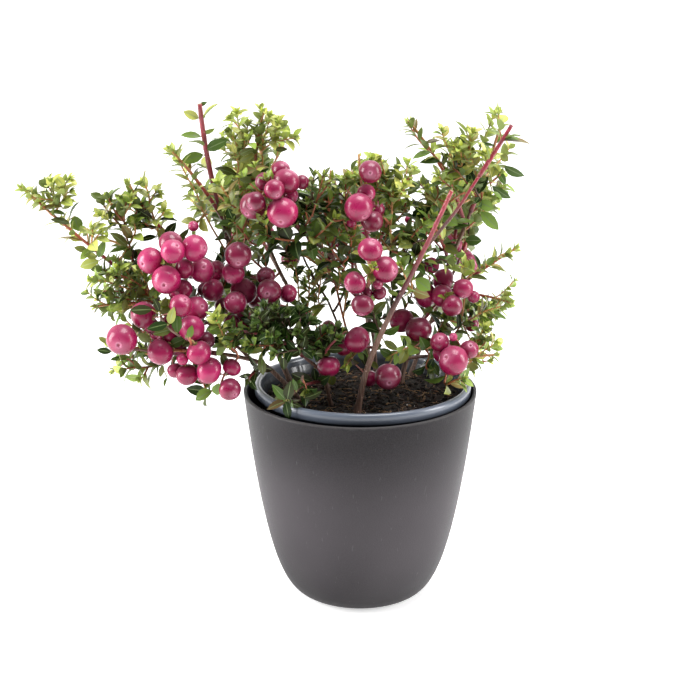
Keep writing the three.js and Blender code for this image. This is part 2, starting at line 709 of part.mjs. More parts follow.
// A berry with its stalk: a ball drawn out to a thin neck, whose end is sunk in the stem.
function berryGeometry({ foot, centre, radius }) {
  const way = foot.clone().sub(centre);
  const profile = [new THREE.Vector2(0, -radius)];
  for (let i = 1; i < BERRY_ROWS; i++) {
    const angle = (Math.PI * i) / BERRY_ROWS;
    profile.push(new THREE.Vector2(radius * Math.sin(angle), -radius * Math.cos(angle)));
  }
  profile.push(new THREE.Vector2(STALK_RADIUS, 0.98 * radius));
  profile.push(new THREE.Vector2(0, way.length() + STALK_DEPTH));
  const geometry = new THREE.LatheGeometry(profile, BERRY_COLUMNS);
  const turn = new THREE.Quaternion().setFromUnitVectors(NORTH, way.normalize());
  return geometry.applyQuaternion(turn).translate(...centre.toArray());
}

function massMesh(mass, masses, limbs) {
  const free = (point) => inSpace(point, mass, masses) && clearOfLimbs(point, limbs) && clearOfPots(point);
  const berries = mass.berries ? settledBerries(mass, (points) => points.every(free)) : [];
  const near = (point, berry) => berry.centre.distanceTo(point) < berry.radius + BERRY_GAP;
  const inBerry = (point) => berries.some((berry) => near(point, berry));
  const fits = (points) => points.every(free) && !points.some(inBerry);
  const limb = limbs.get(mass.on);
  const thick = limb.radius[1] * (mass.at === undefined ? 1 : 0.8);
  const length = mass.curve.getLength();
  const rings = stemRings(length, thick, TWIG_RADIUS);
  const bearing = { from: STEM_LEAVES_FROM, spacing: STEM_LEAF_SPACING };
  const stem = { curve: mass.curve, length, rings, sides: STEM_SIDES, ...bearing };
  const taken = spine(mass.curve, 0.6);
  const shoots = [stem, ...sideTwigs(mass, taken, fits)];
  const pieces = shoots.map((shoot) => tube(shoot.curve, shoot.rings, shoot.sides));
  const roll = dice(mass.seed + 900);
  for (const shoot of shoots) pieces.push(...shootLeaves(shoot, roll, taken, fits));
  pieces.push(...berries.map(berryGeometry));
  const joined = pieces.map(solid).reduce((whole, piece) => whole.add(piece));
  const material = mass.berries ? MATERIALS.fruiting : MATERIALS.foliage;
  return namedMesh(mass.name, geometryOf(joined.subtract(swollen(limb))), material);
}

function shrub() {
  const group = new THREE.Group();
  const limbs = new Map();
  for (const entry of LIMBS) {
    const limb = limbCurve(entry, limbs);
    limb.line = limb.curve.getPoints(16);
    limbs.set(limb.name, limb);
  }
  for (const limb of limbs.values()) {
    const whole = limbGeometry(limb);
    const geometry = limb.on ? geometryOf(solid(whole).subtract(swollen(limbs.get(limb.on)))) : whole;
    group.add(namedMesh(limb.name, geometry, MATERIALS.wood));
  }
  const masses = MASSES.map((entry, i) => {
    const curve = massCurve(entry, limbs);
    return { ...entry, seed: i + 11, curve, line: curve.getPoints(8) };
  });
  for (const mass of masses) group.add(massMesh(mass, masses, limbs));
  return group;
}

const plant = new THREE.Group();
plant.add(planter(), nurseryGroup(), shrub());

export default plant;
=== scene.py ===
# A potted prickly heath: barked stems, leafy shoots and berries over its limbs, a nursery pot of peat and a
# tapering planter. Lengths are in millimetres here, and become metres where a mesh is made.
import math
import bpy
import numpy as np
from mathutils import Matrix, Vector, noise


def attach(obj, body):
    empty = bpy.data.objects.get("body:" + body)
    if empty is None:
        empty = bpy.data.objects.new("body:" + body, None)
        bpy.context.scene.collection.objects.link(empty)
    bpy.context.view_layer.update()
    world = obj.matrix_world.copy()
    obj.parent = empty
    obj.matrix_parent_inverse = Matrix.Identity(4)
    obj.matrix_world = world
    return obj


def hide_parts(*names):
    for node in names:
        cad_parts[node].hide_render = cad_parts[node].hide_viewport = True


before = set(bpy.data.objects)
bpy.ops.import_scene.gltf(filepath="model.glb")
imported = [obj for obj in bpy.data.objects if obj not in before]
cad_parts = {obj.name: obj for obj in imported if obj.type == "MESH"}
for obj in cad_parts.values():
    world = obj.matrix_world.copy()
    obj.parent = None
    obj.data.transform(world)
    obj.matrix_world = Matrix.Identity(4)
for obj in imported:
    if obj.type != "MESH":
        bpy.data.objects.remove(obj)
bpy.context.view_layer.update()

# Planter and nursery pot
RIM_RADIUS = 65
FOOT_RADIUS = 27
PLANTER_HEIGHT = 120
PLANTER_SWELL = 0.36
PLANTER_WALL = 2.2
PLANTER_FLOOR = 3.5
NURSERY_FOOT_RADIUS = 42
NURSERY_NECK_RADIUS = 57.6
NURSERY_LIP_RADIUS = 60.2
NURSERY_LIP_INSIDE = 56.6
NURSERY_LIP_HEIGHT = 6.5
NURSERY_HEIGHT = 103
NURSERY_WALL = 1.3
NURSERY_LIFT = 21
NURSERY_SHIFT = (1.6, -1.9)
NURSERY_TILT = math.radians(1.4)
GROOVES = 36                    # upright ones under the nursery pot's lip
GROOVE_DEPTH = 0.45
SOIL_TOP = 94

# Wood
FIT_GAP = 0.3                   # between a stem's foot and the soil, as between the solids
ROOT_BURIED = 2.5
ROOT_FLARE = 1.45
FLARE_REACH = 0.09              # share of a stem that flares
LIMB_THINNING = 0.66            # the limbs' radius as a share of that of their solids
STEM_TIP_RADIUS = 0.62
CUT_STEM_TAPER = 0.85
CUT_STEM_LEAF_GAP = 16
TWIG_RADIUS = 0.62
TWIG_TIP_RADIUS = 0.4
SPRIG_RADIUS = 0.42
SPRIG_TIP_RADIUS = 0.3
TWIG_TRIALS = 12
SHORTEST_TWIG = 14
TWIG_FORWARD = 0.1              # a seen mass grows none that head more to the front than this
SPRIG_FORWARD = -0.1
TWIG_MARGIN = 0.12              # how far each may reach into another mass's room, in girths
SPRIG_MARGIN = 0.3
ON_WOOD = 3                     # a shoot that starts nearer to wood than this starts on it
SCAR_GAP = 7.3                  # leaf scars along the bark
SCAR_PLACE = 3.6
SCAR_WIDTH = 0.55
SCAR_HEIGHT = 0.32

# Leaves
LEAF_ROOM = 1.4                 # how far leaves may stand from their mass's stem, in girths
LEAF_MARGIN = 0.5
LEAF_TIP_MARGIN = 0.6
LIMB_CLEARANCE = 0.5
RIM_CLEARANCE = 2
BERRY_CLEARANCE = 0.2
GROWN_SLIM = 0.58               # breadth of a leaf as a share of its length
SINGLE_SLIM = 0.42
TUFT_REACH = 2.4                # how far the leaves of a tuft stand past the tip of their shoot
TUFT_LEAF = 5.2
LEAF_STALK = 0.8                # a single leaf farther off the wood than this has a stalk
LEAF_STALK_RADIUS = 0.32
LONGEST_STALK = 6
SIGHT_STEPS = (0, 4, -4, 8, -8, 12, -12, 16, -16, 20, -20)
UNDERSIDE_SHOWS = -0.4          # a leaf that faces down more than this is turned over
LIT_TONE = 0.42                 # from here on a leaf is one of the light ones

# Fruit
BERRY_RADIUS = 7.2
BERRY_STALK = 1.6
BERRY_STALK_RADII = (0.5, 0.36)
BERRY_GAP = 0.4
BERRY_SWELL = 1.055             # how much larger the placed berries are than their radii say
BACK_RIPENESS = 0.4
SETTLE_ROUNDS = 60
SEPAL_TURN = 1.2566

# Peat
CRUMBS = 1500
FIBRES = 240

# Turns and places
FULL_TURN = 6.28
GOLDEN_TURN = math.radians(137.5)
VIEW_TILT = math.radians(18)    # how far the camera looks down
LENS = Vector((-5.6, -1039.4, 479.9))
HEART = Vector((-25, 12, 155))  # the place that the leaves face away from
# The crown's middle and reach, from which the leaves deep inside it are darkened as painted shade
CROWN_MIDDLE = Vector((-25, 12, 165))
CROWN_REACH = (120, 70, 85)
EAST, NORTH, UP = Vector((1, 0, 0)), Vector((0, 1, 0)), Vector((0, 0, 1))

# Limbs: a root on the soil or a place on a parent limb, the points bent through, and both end radii.
LIMBS = {
    "front_stem": dict(root=(-2, -30), radius=(2.6, 1.6),
                       through=[(4, -32, 143), (15, -36, 172), (31, -41, 206), (47, -44, 243)]),
    "front_fork": dict(on="front_stem", at=0.78, radius=(1.4, 1.2), through=[(50, -34, 230), (62, -28, 247)]),
    "right_stem": dict(root=(23, 24), radius=(2.2, 1.4),
                       through=[(29, 25, 136), (43, 22, 170), (55, 20, 200), (61, 20, 216)]),
    "right_branch": dict(on="right_stem", at=0.42, radius=(1.4, 1.1), through=[(47, 12, 170), (56, 8, 178)]),
    "right_low_branch": dict(on="right_stem", at=0.18, radius=(1.5, 1.2),
                             through=[(37, 8, 136), (45, -6, 140)]),
    "centre_stem": dict(root=(9, 21), radius=(1.9, 1.2),
                        through=[(7, 24, 146), (-4, 16, 175), (-15, 6, 193), (-26, -4, 206)]),
    "centre_branch": dict(on="centre_stem", at=0.3, radius=(1.4, 1.1), through=[(7, 12, 178), (4, -3, 204)]),
    "centre_front_branch": dict(on="centre_stem", at=0.22, radius=(1.4, 1.1),
                                through=[(5, 4, 158), (4, -16, 178)]),
    "left_low_stem": dict(root=(-32, -10), radius=(2.1, 1.5),
                          through=[(-51, -14, 137), (-66, -18, 144), (-78, -21, 147)]),
    "left_far_branch": dict(on="left_low_stem", at=0.5, radius=(1.5, 1.1),
                            through=[(-82, -4, 158), (-104, -2, 167), (-121, -3, 181)]),
    "low_front_stem": dict(root=(-16, -16), radius=(1.8, 1.3), through=[(-21, -22, 136), (-31, -28, 148)]),
    "tall_stem": dict(root=(-37, 10), radius=(2.3, 1.5),
                      through=[(-52, 12, 150), (-66, 11, 180), (-74, 9, 208), (-79, 8, 230)]),
    "left_branch": dict(on="tall_stem", at=0.52, radius=(1.4, 1.1), through=[(-82, 10, 190), (-97, 8, 200)]),
    "crown_left_stem": dict(root=(-18, 12), radius=(1.8, 1.2),
                            through=[(-32, 14, 156), (-48, 13, 192), (-54, 11, 214)]),
    "back_left_stem": dict(root=(-17, 34), radius=(1.9, 1.2), through=[(-34, 46, 150), (-52, 58, 182)]),
    "back_stem": dict(root=(5, 40), radius=(1.9, 1.2), through=[(4, 52, 146), (-3, 64, 176)]),
    "back_right_stem": dict(root=(29, 38), radius=(1.9, 1.2), through=[(42, 50, 146), (57, 60, 176)]),
}


def mass(name, on, tip, girth, twigs, leaf, tone, at=None, berries=0, fruit=(0, 1), gap=4.3, bare=False,
         full=1.0, seen=True):
    """A mass of foliage: its limb, its place on it (the limb's tip if none is given), its stem's tip, the
    girth of its room, its side twigs, the length of its leaves and how far apart they stand, its tone from
    dark and shaded to fresh and lit (partly the leaves' own colour and partly painted shade and light), the
    berries that hang along fruit, and how full it is of finer twigs. A bare one has few leaves on a stem that
    was cut at its tip. The shoots of a seen one are placed one by one, and only those behind its stem are
    left to grow by the rule."""
    return dict(name=name, on=on, at=at, tip=Vector(tip), girth=girth, twigs=twigs, leaf=leaf, tone=tone,
                berries=berries, fruit=fruit, gap=gap, bare=bare, full=full, seen=seen)


MASSES = [
    mass("far_left_mass", "left_far_branch", (-182, -6, 236), 27, 0, 8.0, 0.62, full=0),
    mass("left_outer_mass", "left_far_branch", (-144, -16, 172), 20, 2, 7.0, 0.42, at=0.72, gap=3.0,
         full=0.4),
    mass("left_low_mass", "left_far_branch", (-136, -14, 134), 22, 2, 7.5, 0.45, at=0.36, full=0.2),
    mass("left_crown_mass", "left_branch", (-126, 6, 236), 25, 1, 8.5, 0.5, full=0),
    mass("left_upper_berries", "left_branch", (-108, -26, 202), 30, 3, 9.5, 0.38, at=0.55, full=0.5),
    mass("left_lower_berries", "left_low_stem", (-105, -34, 153), 34, 4, 9.5, 0.36, full=0.5),
    mass("middle_left_berries", "tall_stem", (-46, -20, 184), 26, 3, 9.0, 0.3, at=0.5, full=0.6),
    mass("tall_shoot", "tall_stem", (-86, 5, 279), 19, 0, 11.0, 0.42, gap=8.0, bare=True, full=0),
    mass("tall_side_mass", "tall_stem", (-102, -2, 256), 17, 0, 8.5, 0.5, at=0.84, full=0),
    mass("crown_left_mass", "crown_left_stem", (-52, 10, 274), 27, 1, 8.0, 0.66, full=0.1),
    mass("crown_berries", "centre_stem", (-50, -28, 246), 26, 3, 8.5, 0.3, full=0.5),
    mass("crown_middle_mass", "centre_stem", (-16, 8, 242), 20, 4, 9.0, 0.32, at=0.74, full=0.7),
    mass("crown_right_berries", "centre_branch", (-1, -16, 256), 23, 3, 7.5, 0.48, full=0.5),
    mass("centre_berries", "centre_front_branch", (7, -44, 202), 22, 2, 8.0, 0.36, full=0.3),
    mass("centre_low_berries", "centre_stem", (-8, -24, 141), 20, 2, 8.5, 0.32, at=0.16, full=0.4),
    mass("right_inner_mass", "right_stem", (26, 14, 268), 24, 0, 8.0, 0.55, at=0.86, full=0),
    mass("right_crown_mass", "right_stem", (76, 10, 268), 23, 1, 8.5, 0.56, full=0),
    mass("right_outer_mass", "front_fork", (79, -22, 273), 22, 0, 10.0, 0.42, gap=5.0, bare=True, full=0),
    mass("right_berries", "right_stem", (46, -10, 176), 26, 3, 8.5, 0.36, at=0.36, full=0.6),
    mass("right_upper_spray", "right_branch", (85, 2, 200), 17, 0, 8.0, 0.56, full=0),
    mass("right_middle_spray", "right_branch", (82, -8, 172), 14, 0, 6.5, 0.52, at=0.6, full=0),
    mass("right_low_berries", "right_low_branch", (74, -20, 146), 20, 1, 6.5, 0.46, full=0.1),
    mass("low_front_mass", "low_front_stem", (-64, -40, 166), 23, 3, 7.8, 0.07, gap=3.0, full=0.5),
    mass("low_inner_mass", "low_front_stem", (-12, -34, 160), 20, 3, 7.8, 0.1, at=0.62, gap=3.2, full=0.4),
    mass("left_rim_mass", "left_low_stem", (-60, -38, 138), 18, 2, 7.8, 0.08, at=0.34, gap=3.2, full=0.3),
    mass("rim_rosette", "low_front_stem", (-40, -46, 131), 15, 0, 11.0, 0.2, at=0.35, full=0),
    mass("back_left_mass", "back_left_stem", (-88, 76, 216), 30, 5, 9.0, 0.4, berries=3, fruit=(0.2, 0.6),
         seen=False),
    mass("back_mass", "back_stem", (-16, 99, 220), 30, 5, 9.0, 0.36, berries=3, fruit=(0.2, 0.6), seen=False),
    mass("back_right_mass", "back_right_stem", (66, 80, 204), 28, 5, 9.0, 0.4, berries=3, fruit=(0, 0.35),
         seen=False),
    mass("back_left_low_mass", "back_left_stem", (-86, 60, 152), 22, 3, 8.5, 0.3, at=0.5, seen=False),
    mass("back_right_low_mass", "back_right_stem", (80, 58, 150), 22, 3, 8.5, 0.3, at=0.45, seen=False),
    mass("back_crown_left_mass", "crown_left_stem", (-56, 50, 250), 25, 4, 8.5, 0.5, at=0.8, full=0.3,
         seen=False),
    mass("back_crown_mass", "centre_stem", (4, 53, 237), 26, 4, 8.5, 0.46, at=0.5, full=0.5, seen=False),
    mass("back_crown_right_mass", "right_stem", (56, 56, 244), 24, 4, 8.5, 0.5, at=0.66, full=0.5,
         seen=False),
    mass("centre_right_mass", "centre_branch", (26, -6, 240), 20, 3, 7.5, 0.5, at=0.7, full=0.5),
    mass("right_middle_mass", "right_stem", (33, -2, 222), 20, 4, 8.0, 0.4, at=0.62, full=0.8),
    mass("centre_left_mass", "centre_stem", (-36, 8, 198), 18, 2, 7.5, 0.42, at=0.4, full=0.2),
]

# Bunches of berries that show: how pale each bunch is, then where its berries hang and their radii.
BUNCHES = {
    "left_upper": (0.5, [
        (-112, -24, 200, 6.9), (-99, -34, 208, 6.3), (-101, -22, 209, 6.4), (-88, -28, 208, 6.9),
        (-103, -33, 192, 7.4), (-94, -25, 196, 5.3), (-85, -18, 193, 6.4), (-96, -24, 184, 5.9),
        (-80, -5, 188, 5.4), (-80, -12, 180, 6.0), (-89, -20, 218, 2.7)]),
    "left_inside": (0.22, [
        (-92, -8, 190, 4.6), (-84, -8, 179, 4.6), (-93, -24, 166, 5.1), (-83, -26, 156, 4.6),
        (-99, -24, 152, 5.1), (-103, -20, 164, 4.6), (-75, -8, 170, 4.6), (-57, -4, 172, 4.6),
        (-84, -28, 137, 4.6), (-113, -24, 164, 4.6), (-78, -6, 191, 4.1), (-99, -20, 181, 4.1)]),
    "middle_left": (0.38, [
        (-65, -27, 204, 6.9), (-68, -23, 193, 5.9), (-63, -17, 181, 7.0), (-67, -28, 178, 5.9),
        (-69, -24, 165, 4.8), (-63, -16, 164, 5.4), (-51, -15, 189, 4.9), (-49, -24, 183, 6.4),
        (-39, -18, 180, 4.9)]),
    "left_lower": (0.5, [
        (-95, -40, 180, 5.8), (-88, -26, 174, 6.4), (-116, -31, 172, 6.9), (-127, -40, 161, 8.0),
        (-90, -36, 166, 6.9), (-104, -28, 160, 5.4), (-110, -21, 159, 4.3), (-107, -37, 153, 6.9),
        (-100, -29, 140, 4.3), (-86, -41, 154, 6.4), (-95, -40, 150, 3.2), (-93, -36, 140, 5.9),
        (-81, -38, 143, 7.0), (-69, -36, 144, 4.8), (-70, -40, 133, 5.9)]),
    "crown": (0.36, [
        (-42, -17, 248, 4.8), (-39, -27, 244, 6.8), (-51, -23, 243, 4.7), (-45, -37, 242, 5.2),
        (-55, -35, 235, 5.2), (-57, -24, 230, 6.9), (-41, -34, 229, 7.9), (-37, -21, 235, 4.2),
        (-31, -20, 242, 3.7)]),
    "crown_right": (0.36, [
        (5, -26, 249, 5.8), (3, -21, 236, 4.8), (-1, -31, 231, 7.4), (6, -25, 222, 5.8),
        (8, -16, 226, 4.8), (-5, -16, 219, 2.7)]),
    "centre": (0.31, [
        (5, -42, 211, 6.3), (13, -38, 199, 6.8), (-3, -42, 193, 5.8), (9, -42, 192, 2.6),
        (3, -37, 186, 3.2), (10, -37, 186, 3.7), (1, -43, 181, 5.8)]),
    "right": (0.4, [
        (39, 6, 189, 4.4), (46, 9, 180, 6.1), (56, -8, 180, 5.4), (45, -2, 174, 6.0), (50, -11, 171, 5.7),
        (36, 6, 172, 6.6), (23, 4, 158, 6.6), (32, -6, 156, 7.1), (62, -4, 174, 3.3), (62, 6, 155, 3.9)]),
    "right_low": (0.44, [
        (43, -23, 154, 5.1), (50, -30, 146, 7.8), (59, -23, 150, 4.9), (50, -26, 158, 2.2),
        (45, -16, 146, 5.5)]),
    "centre_low": (0.36, [
        (-2, -28, 157, 7.0), (-9, -21, 151, 4.9), (-17, -28, 142, 5.9), (15, -28, 136, 7.0),
        (5, -19, 132, 4.4)]),
    "inner": (0.4, [
        (-39, 30, 186, 5.1), (-18, 30, 146, 4.0), (-31, 30, 152, 4.5), (-19, 30, 189, 3.9),
        (-11, 30, 195, 2.8), (27, 30, 209, 2.2), (22, 30, 200, 2.8), (-12, 30, 225, 2.2)]),
}

# Shoots that show one by one: their kind, their tone from dark and shaded to fresh and lit (partly painted
# shade and light), how far back they start and end, and then x and z of each place that they bend through.
SEEN_SHOOTS = [
    # far left
    ("small", 0.7, -4, -10, -162, 226, -166, 229, -172, 230, -179, 232),
    ("small", 0.75, -4, -6, -170, 229, -175, 233, -182, 235),
    ("small", 0.5, -4, 2, -164, 228, -167, 233, -171, 238),
    ("small", 0.8, -4, -10, -165, 228, -165, 236, -165, 242),
    ("small", 0.92, -5, -10, -161, 224, -159, 231, -158, 238, -154, 243),
    ("small", 0.85, -4, 0, -161, 225, -162, 231, -162, 238),
    ("small", 0.75, -5, -4, -161, 225, -158, 232, -154, 234),
    ("leafy", 0.62, -4, -10, -146, 201, -145, 208, -144, 216),
    ("small", 0.9, -4, -8, -147, 202, -143, 208, -139, 212),
    ("small", 0.6, -4, 0, -148, 203, -148, 208, -149, 211),
    # left crown
    ("bare", 0.75, -2, -2, -126, 201, -132, 204, -138, 206, -141, 207),
    ("leafy", 0.45, 2, 0, -125, 199, -128, 209, -128, 219, -126, 229),
    ("leafy", 0.25, 2, 8, -129, 210, -134, 216, -139, 222, -142, 228),
    ("leafy", 0.22, 2, 4, -128, 215, -133, 220, -136, 226, -137, 230),
    ("small", 0.92, 0, -8, -130, 212, -135, 216, -138, 220, -141, 222),
    ("small", 0.5, 0, 6, -128, 215, -129, 222, -131, 229),
    ("small", 0.62, 0, -4, -127, 219, -124, 226, -123, 231),
    ("leafy", 0.6, 0, -6, -124, 202, -122, 210, -122, 218),
    ("leafy", 0.3, 0, 6, -127, 213, -122, 219, -121, 224),
    ("leafy", 0.5, 4, 0, -110, 204, -111, 214, -114, 222, -114, 229, -116, 235, -118, 238),
    ("small", 0.55, 2, 0, -114, 226, -111, 231, -108, 233),
    ("small", 0.92, 2, -6, -110, 214, -107, 220, -105, 224),
    ("small", 0.45, 2, 6, -115, 220, -119, 223, -121, 225),
    ("leafy", 0.35, 2, -4, -114, 211, -117, 215, -120, 214),
    ("bare", 0.15, 0, 0, -124, 193, -124, 199),
    # left, at half height
    ("small", 0.45, -12, -10, -114, 175, -121, 183, -128, 192, -134, 199),
    ("small", 0.62, -12, -18, -115, 176, -125, 181, -134, 185, -140, 187, -147, 188),
    ("small", 0.45, -10, -4, -120, 179, -131, 185, -138, 189, -143, 191),
    ("small", 0.4, -12, -4, -114, 177, -121, 186, -126, 193),
    ("small", 0.5, -12, -14, -113, 178, -117, 187, -120, 195),
    ("small", 0.4, -12, -12, -120, 176, -129, 179, -138, 180, -143, 177),
    ("small", 0.35, -12, -16, -114, 172, -124, 175, -132, 177, -137, 176),
    ("small", 0.38, -12, -20, -116, 179, -122, 186, -129, 190, -134, 193),
    ("small", 0.35, -12, -18, -111, 173, -115, 183, -115, 190),
    ("small", 0.42, -12, -16, -124, 180, -129, 189, -130, 195),
    ("small", 0.34, -12, -6, -114, 180, -120, 181, -127, 182),
    ("leafy", 0.5, -14, -18, -113, 168, -123, 173, -130, 173),
    # low left, and bare twigs between the berries there
    ("leafy", 0.42, -22, -26, -108, 141, -117, 140, -125, 140, -130, 138),
    ("leafy", 0.25, -22, -16, -109, 144, -115, 147, -121, 151),
    ("leafy", 0.45, -24, -30, -114, 140, -117, 137, -120, 134),
    ("leafy", 0.35, -22, -20, -120, 140, -125, 143, -130, 145),
    ("bare", 0.2, -28, -24, -110, 150, -123, 151, -136, 152),
    ("small", 0.3, -26, -22, -113, 156, -118, 161, -122, 162),
    ("bare", 0.1, -38, -50, -106, 173, -104, 171, -100, 168, -95, 166),
    ("bare", 0.3, -38, -50, -90, 155, -90, 161, -90, 165),
    ("small", 0.46, -36, -46, -72, 155, -73, 163, -75, 170, -77, 176),
    ("bare", 0.4, -34, -40, -65, 150, -71, 144, -74, 138, -75, 135),
    # low front, in the shade
    ("small", 0.05, -30, -38, -32, 152, -40, 161, -48, 172, -52, 181),
    ("small", 0.09, -30, -44, -38, 154, -48, 163, -57, 170),
    ("small", 0.04, -30, -34, -35, 155, -38, 167, -39, 176),
    ("small", 0.04, -28, -30, -33, 156, -29, 165, -25, 170),
    ("small", 0.09, -26, -30, -27, 152, -21, 159, -16, 163),
    ("small", 0.21, -32, -44, -40, 154, -53, 157, -61, 160),
    ("small", 0.05, -34, -46, -44, 161, -51, 169, -55, 178),
    ("small", 0.05, -30, -40, -37, 162, -43, 171, -45, 180),
    ("small", 0.04, -28, -28, -32, 161, -33, 169, -32, 176),
    ("small", 0.15, -34, -44, -31, 154, -39, 154, -48, 153),
    ("small", 0.07, -22, -26, -21, 148, -24, 153, -29, 156),
    ("small", 0.29, -34, -42, -53, 153, -64, 161, -72, 159),
    ("small", 0.21, -34, -44, -53, 159, -63, 165, -70, 171),
    ("small", 0.07, -30, -50, -41, 155, -45, 163, -49, 167),
    ("small", 0.07, -28, -40, -30, 154, -32, 161, -34, 166),
    ("small", 0.11, -24, -34, -16, 150, -22, 153, -26, 152),
    ("bare", 0.05, -38, -48, -31, 140, -33, 134, -40, 130),
    ("small", 0.15, -38, -44, -32, 138, -29, 134, -28, 132),
    # tall pale twigs in the middle
    ("bare", 0.05, 6, 14, -12, 149, -14, 161, -21, 173, -28, 185, -33, 196, -35, 203),
    ("bare", 0.35, 4, 10, -6, 144, -9, 158, -12, 170, -14, 180, -19, 189, -24, 194),
    ("bare", 0.05, 8, 4, -15, 161, -11, 169, -8, 177),
    ("needle", 0.62, 10, 12, -23, 147, -26, 157, -25, 168, -26, 176, -27, 184),
    ("needle", 0.62, 4, 4, -9, 159, -8, 170, -7, 178, -8, 185),
    ("needle", 0.62, 10, 14, -27, 168, -30, 174, -31, 180),
    ("needle", 0.55, 10, 6, -33, 195, -36, 190, -41, 188),
    ("needle", 0.62, 10, 10, -34, 197, -29, 197, -23, 195),
    ("needle", 0.6, 4, 0, -17, 186, -20, 186, -23, 187),
    ("needle", 0.53, 4, 0, -12, 176, -11, 184, -13, 192),
    # round the bunch in the crown
    ("needle", 0.28, -10, -22, -33, 210, -26, 222, -23, 232, -21, 240, -19, 248),
    ("needle", 0.22, -12, -16, -25, 228, -26, 236, -24, 247),
    ("needle", 0.28, -14, -18, -22, 233, -17, 240, -14, 245),
    ("needle", 0.15, -12, -8, -29, 216, -31, 225, -34, 234),
    ("needle", 0.3, -12, -20, -23, 222, -16, 230, -12, 238),
    ("leafy", 0.38, -12, -24, -27, 208, -19, 216, -12, 225),
    ("broad", 0.18, -12, -24, -37, 208, -46, 211, -52, 215),
    ("broad", 0.4, -16, -32, -50, 210, -50, 219, -51, 227),
    ("broad", 0.25, -4, -16, -57, 203, -64, 213, -69, 221),
    ("leafy", 0.28, -2, -14, -61, 219, -67, 225, -71, 230),
    ("leafy", 0.52, 2, -8, -65, 220, -71, 229, -74, 235, -77, 240),
    ("broad", 0.34, 6, -2, -74, 198, -69, 207, -66, 213),
    ("broad", 0.3, 4, -4, -75, 206, -73, 215, -74, 222),
    ("leafy", 0.24, -10, -16, -33, 212, -38, 219, -32, 223),
    ("leafy", 0.3, -8, -18, -26, 214, -29, 223, -28, 232),
    # beside the tall shoot
    ("needle", 0.62, 6, 0, -76, 198, -80, 209, -85, 218, -87, 227, -91, 234, -94, 241, -97, 247, -99, 252,
     -101, 255),
    ("leafy", 0.55, 6, -2, -85, 217, -88, 215, -91, 212),
    # top of the crown, left
    ("small", 0.72, 8, 4, -65, 231, -66, 244, -67, 251, -70, 256),
    ("small", 0.66, 8, 10, -65, 243, -66, 253, -69, 260, -73, 264),
    ("small", 0.82, 8, 2, -65, 248, -63, 256, -65, 266, -66, 272, -66, 276),
    ("small", 0.75, 6, 8, -65, 266, -68, 269, -71, 272),
    ("small", 0.7, 8, 12, -63, 253, -62, 260, -61, 265, -61, 269),
    ("small", 0.5, 6, 2, -63, 255, -60, 258, -61, 262),
    ("small", 0.6, 10, 6, -53, 241, -53, 250, -53, 256, -51, 263, -49, 269, -48, 274),
    ("small", 0.55, 10, 12, -53, 252, -56, 259, -59, 264),
    ("small", 0.8, 8, 2, -51, 255, -48, 260, -45, 266, -44, 271),
    ("small", 0.78, 8, 10, -45, 262, -42, 265, -40, 267),
    ("small", 0.62, 8, 4, -53, 252, -48, 257, -42, 259, -38, 260, -33, 261),
    ("small", 0.6, 8, 12, -53, 259, -54, 264, -53, 269),
    ("leafy", 0.35, 8, 2, -65, 233, -60, 237, -55, 240),
    ("leafy", 0.45, 8, 14, -64, 239, -59, 244, -54, 246),
    ("small", 0.55, 8, 4, -66, 225, -61, 232, -63, 235),
    # top of the crown, middle
    ("small", 0.42, -14, -20, -8, 221, -8, 232, -8, 240, -7, 247),
    ("small", 0.55, -14, -14, -8, 233, -5, 240, -2, 245),
    ("small", 0.35, -12, -8, -8, 228, -13, 234, -16, 238),
    ("small", 0.6, -8, -16, 9, 235, 7, 247, 6, 255),
    ("small", 0.55, -8, -12, 14, 234, 13, 243, 11, 251, 9, 254),
    ("leafy", 0.48, -8, -14, 17, 201, 16, 213, 17, 225, 17, 233, 19, 238),
    ("small", 0.95, -10, -18, 17, 227, 21, 235, 24, 241),
    ("small", 0.35, -10, -6, 16, 229, 14, 237, 15, 244),
    ("leafy", 0.28, -10, -22, 17, 216, 11, 224, 7, 232),
    ("leafy", 0.28, -8, -6, 17, 207, 22, 211, 28, 213),
    ("small", 0.6, -8, -10, 19, 234, 24, 243, 25, 252),
    ("small", 0.35, -8, -2, 18, 236, 20, 243, 18, 247),
    ("small", 0.5, -8, -4, 21, 238, 27, 242, 29, 247),
    ("small", 0.3, -10, -14, -8, 230, -12, 236, -10, 243),
    # middle, under the crown
    ("leafy", 0.5, -4, -14, -8, 190, -15, 201, -19, 209, -16, 217),
    ("leafy", 0.3, -4, -10, -16, 194, -23, 201, -28, 207),
    ("leafy", 0.3, -8, -18, -7, 197, -5, 206, -5, 214),
    ("leafy", 0.34, -8, -16, -7, 204, -11, 210, -9, 217),
    ("leafy", 0.25, -12, -20, -5, 210, -9, 220, -7, 225),
    ("leafy", 0.34, -4, -8, 31, 197, 35, 208, 38, 217, 40, 222),
    ("broad", 0.15, -4, 0, 35, 204, 32, 215, 30, 221),
    ("leafy", 0.38, -6, -12, 28, 193, 24, 201, 21, 208),
    ("leafy", 0.34, -4, -14, 24, 201, 29, 211, 35, 218),
    ("needle", 0.3, -2, 6, 41, 216, 40, 225, 35, 232, 31, 237),
    ("needle", 0.15, 0, 4, 38, 224, 42, 230, 41, 237),
    ("leafy", 0.45, -6, -12, 27, 189, 32, 195, 35, 200),
    ("leafy", 0.34, -10, -20, 28, 179, 24, 189, 21, 198),
    ("broad", 0.15, -16, -18, 11, 157, 8, 165, 6, 173),
    ("leafy", 0.3, 0, -6, 37, 190, 43, 195, 50, 194),
    ("leafy", 0.28, -8, -8, 32, 207, 27, 204, 23, 198),
    # top of the crown, right
    ("needle", 0.4, 10, 14, 49, 237, 43, 247, 37, 252, 32, 257, 29, 262, 25, 267),
    ("small", 0.7, 8, 2, 52, 241, 48, 253, 45, 260, 43, 267),
    ("needle", 0.5, 8, 4, 53, 241, 52, 251, 49, 259),
    ("small", 0.8, 6, 0, 55, 245, 54, 253, 52, 258),
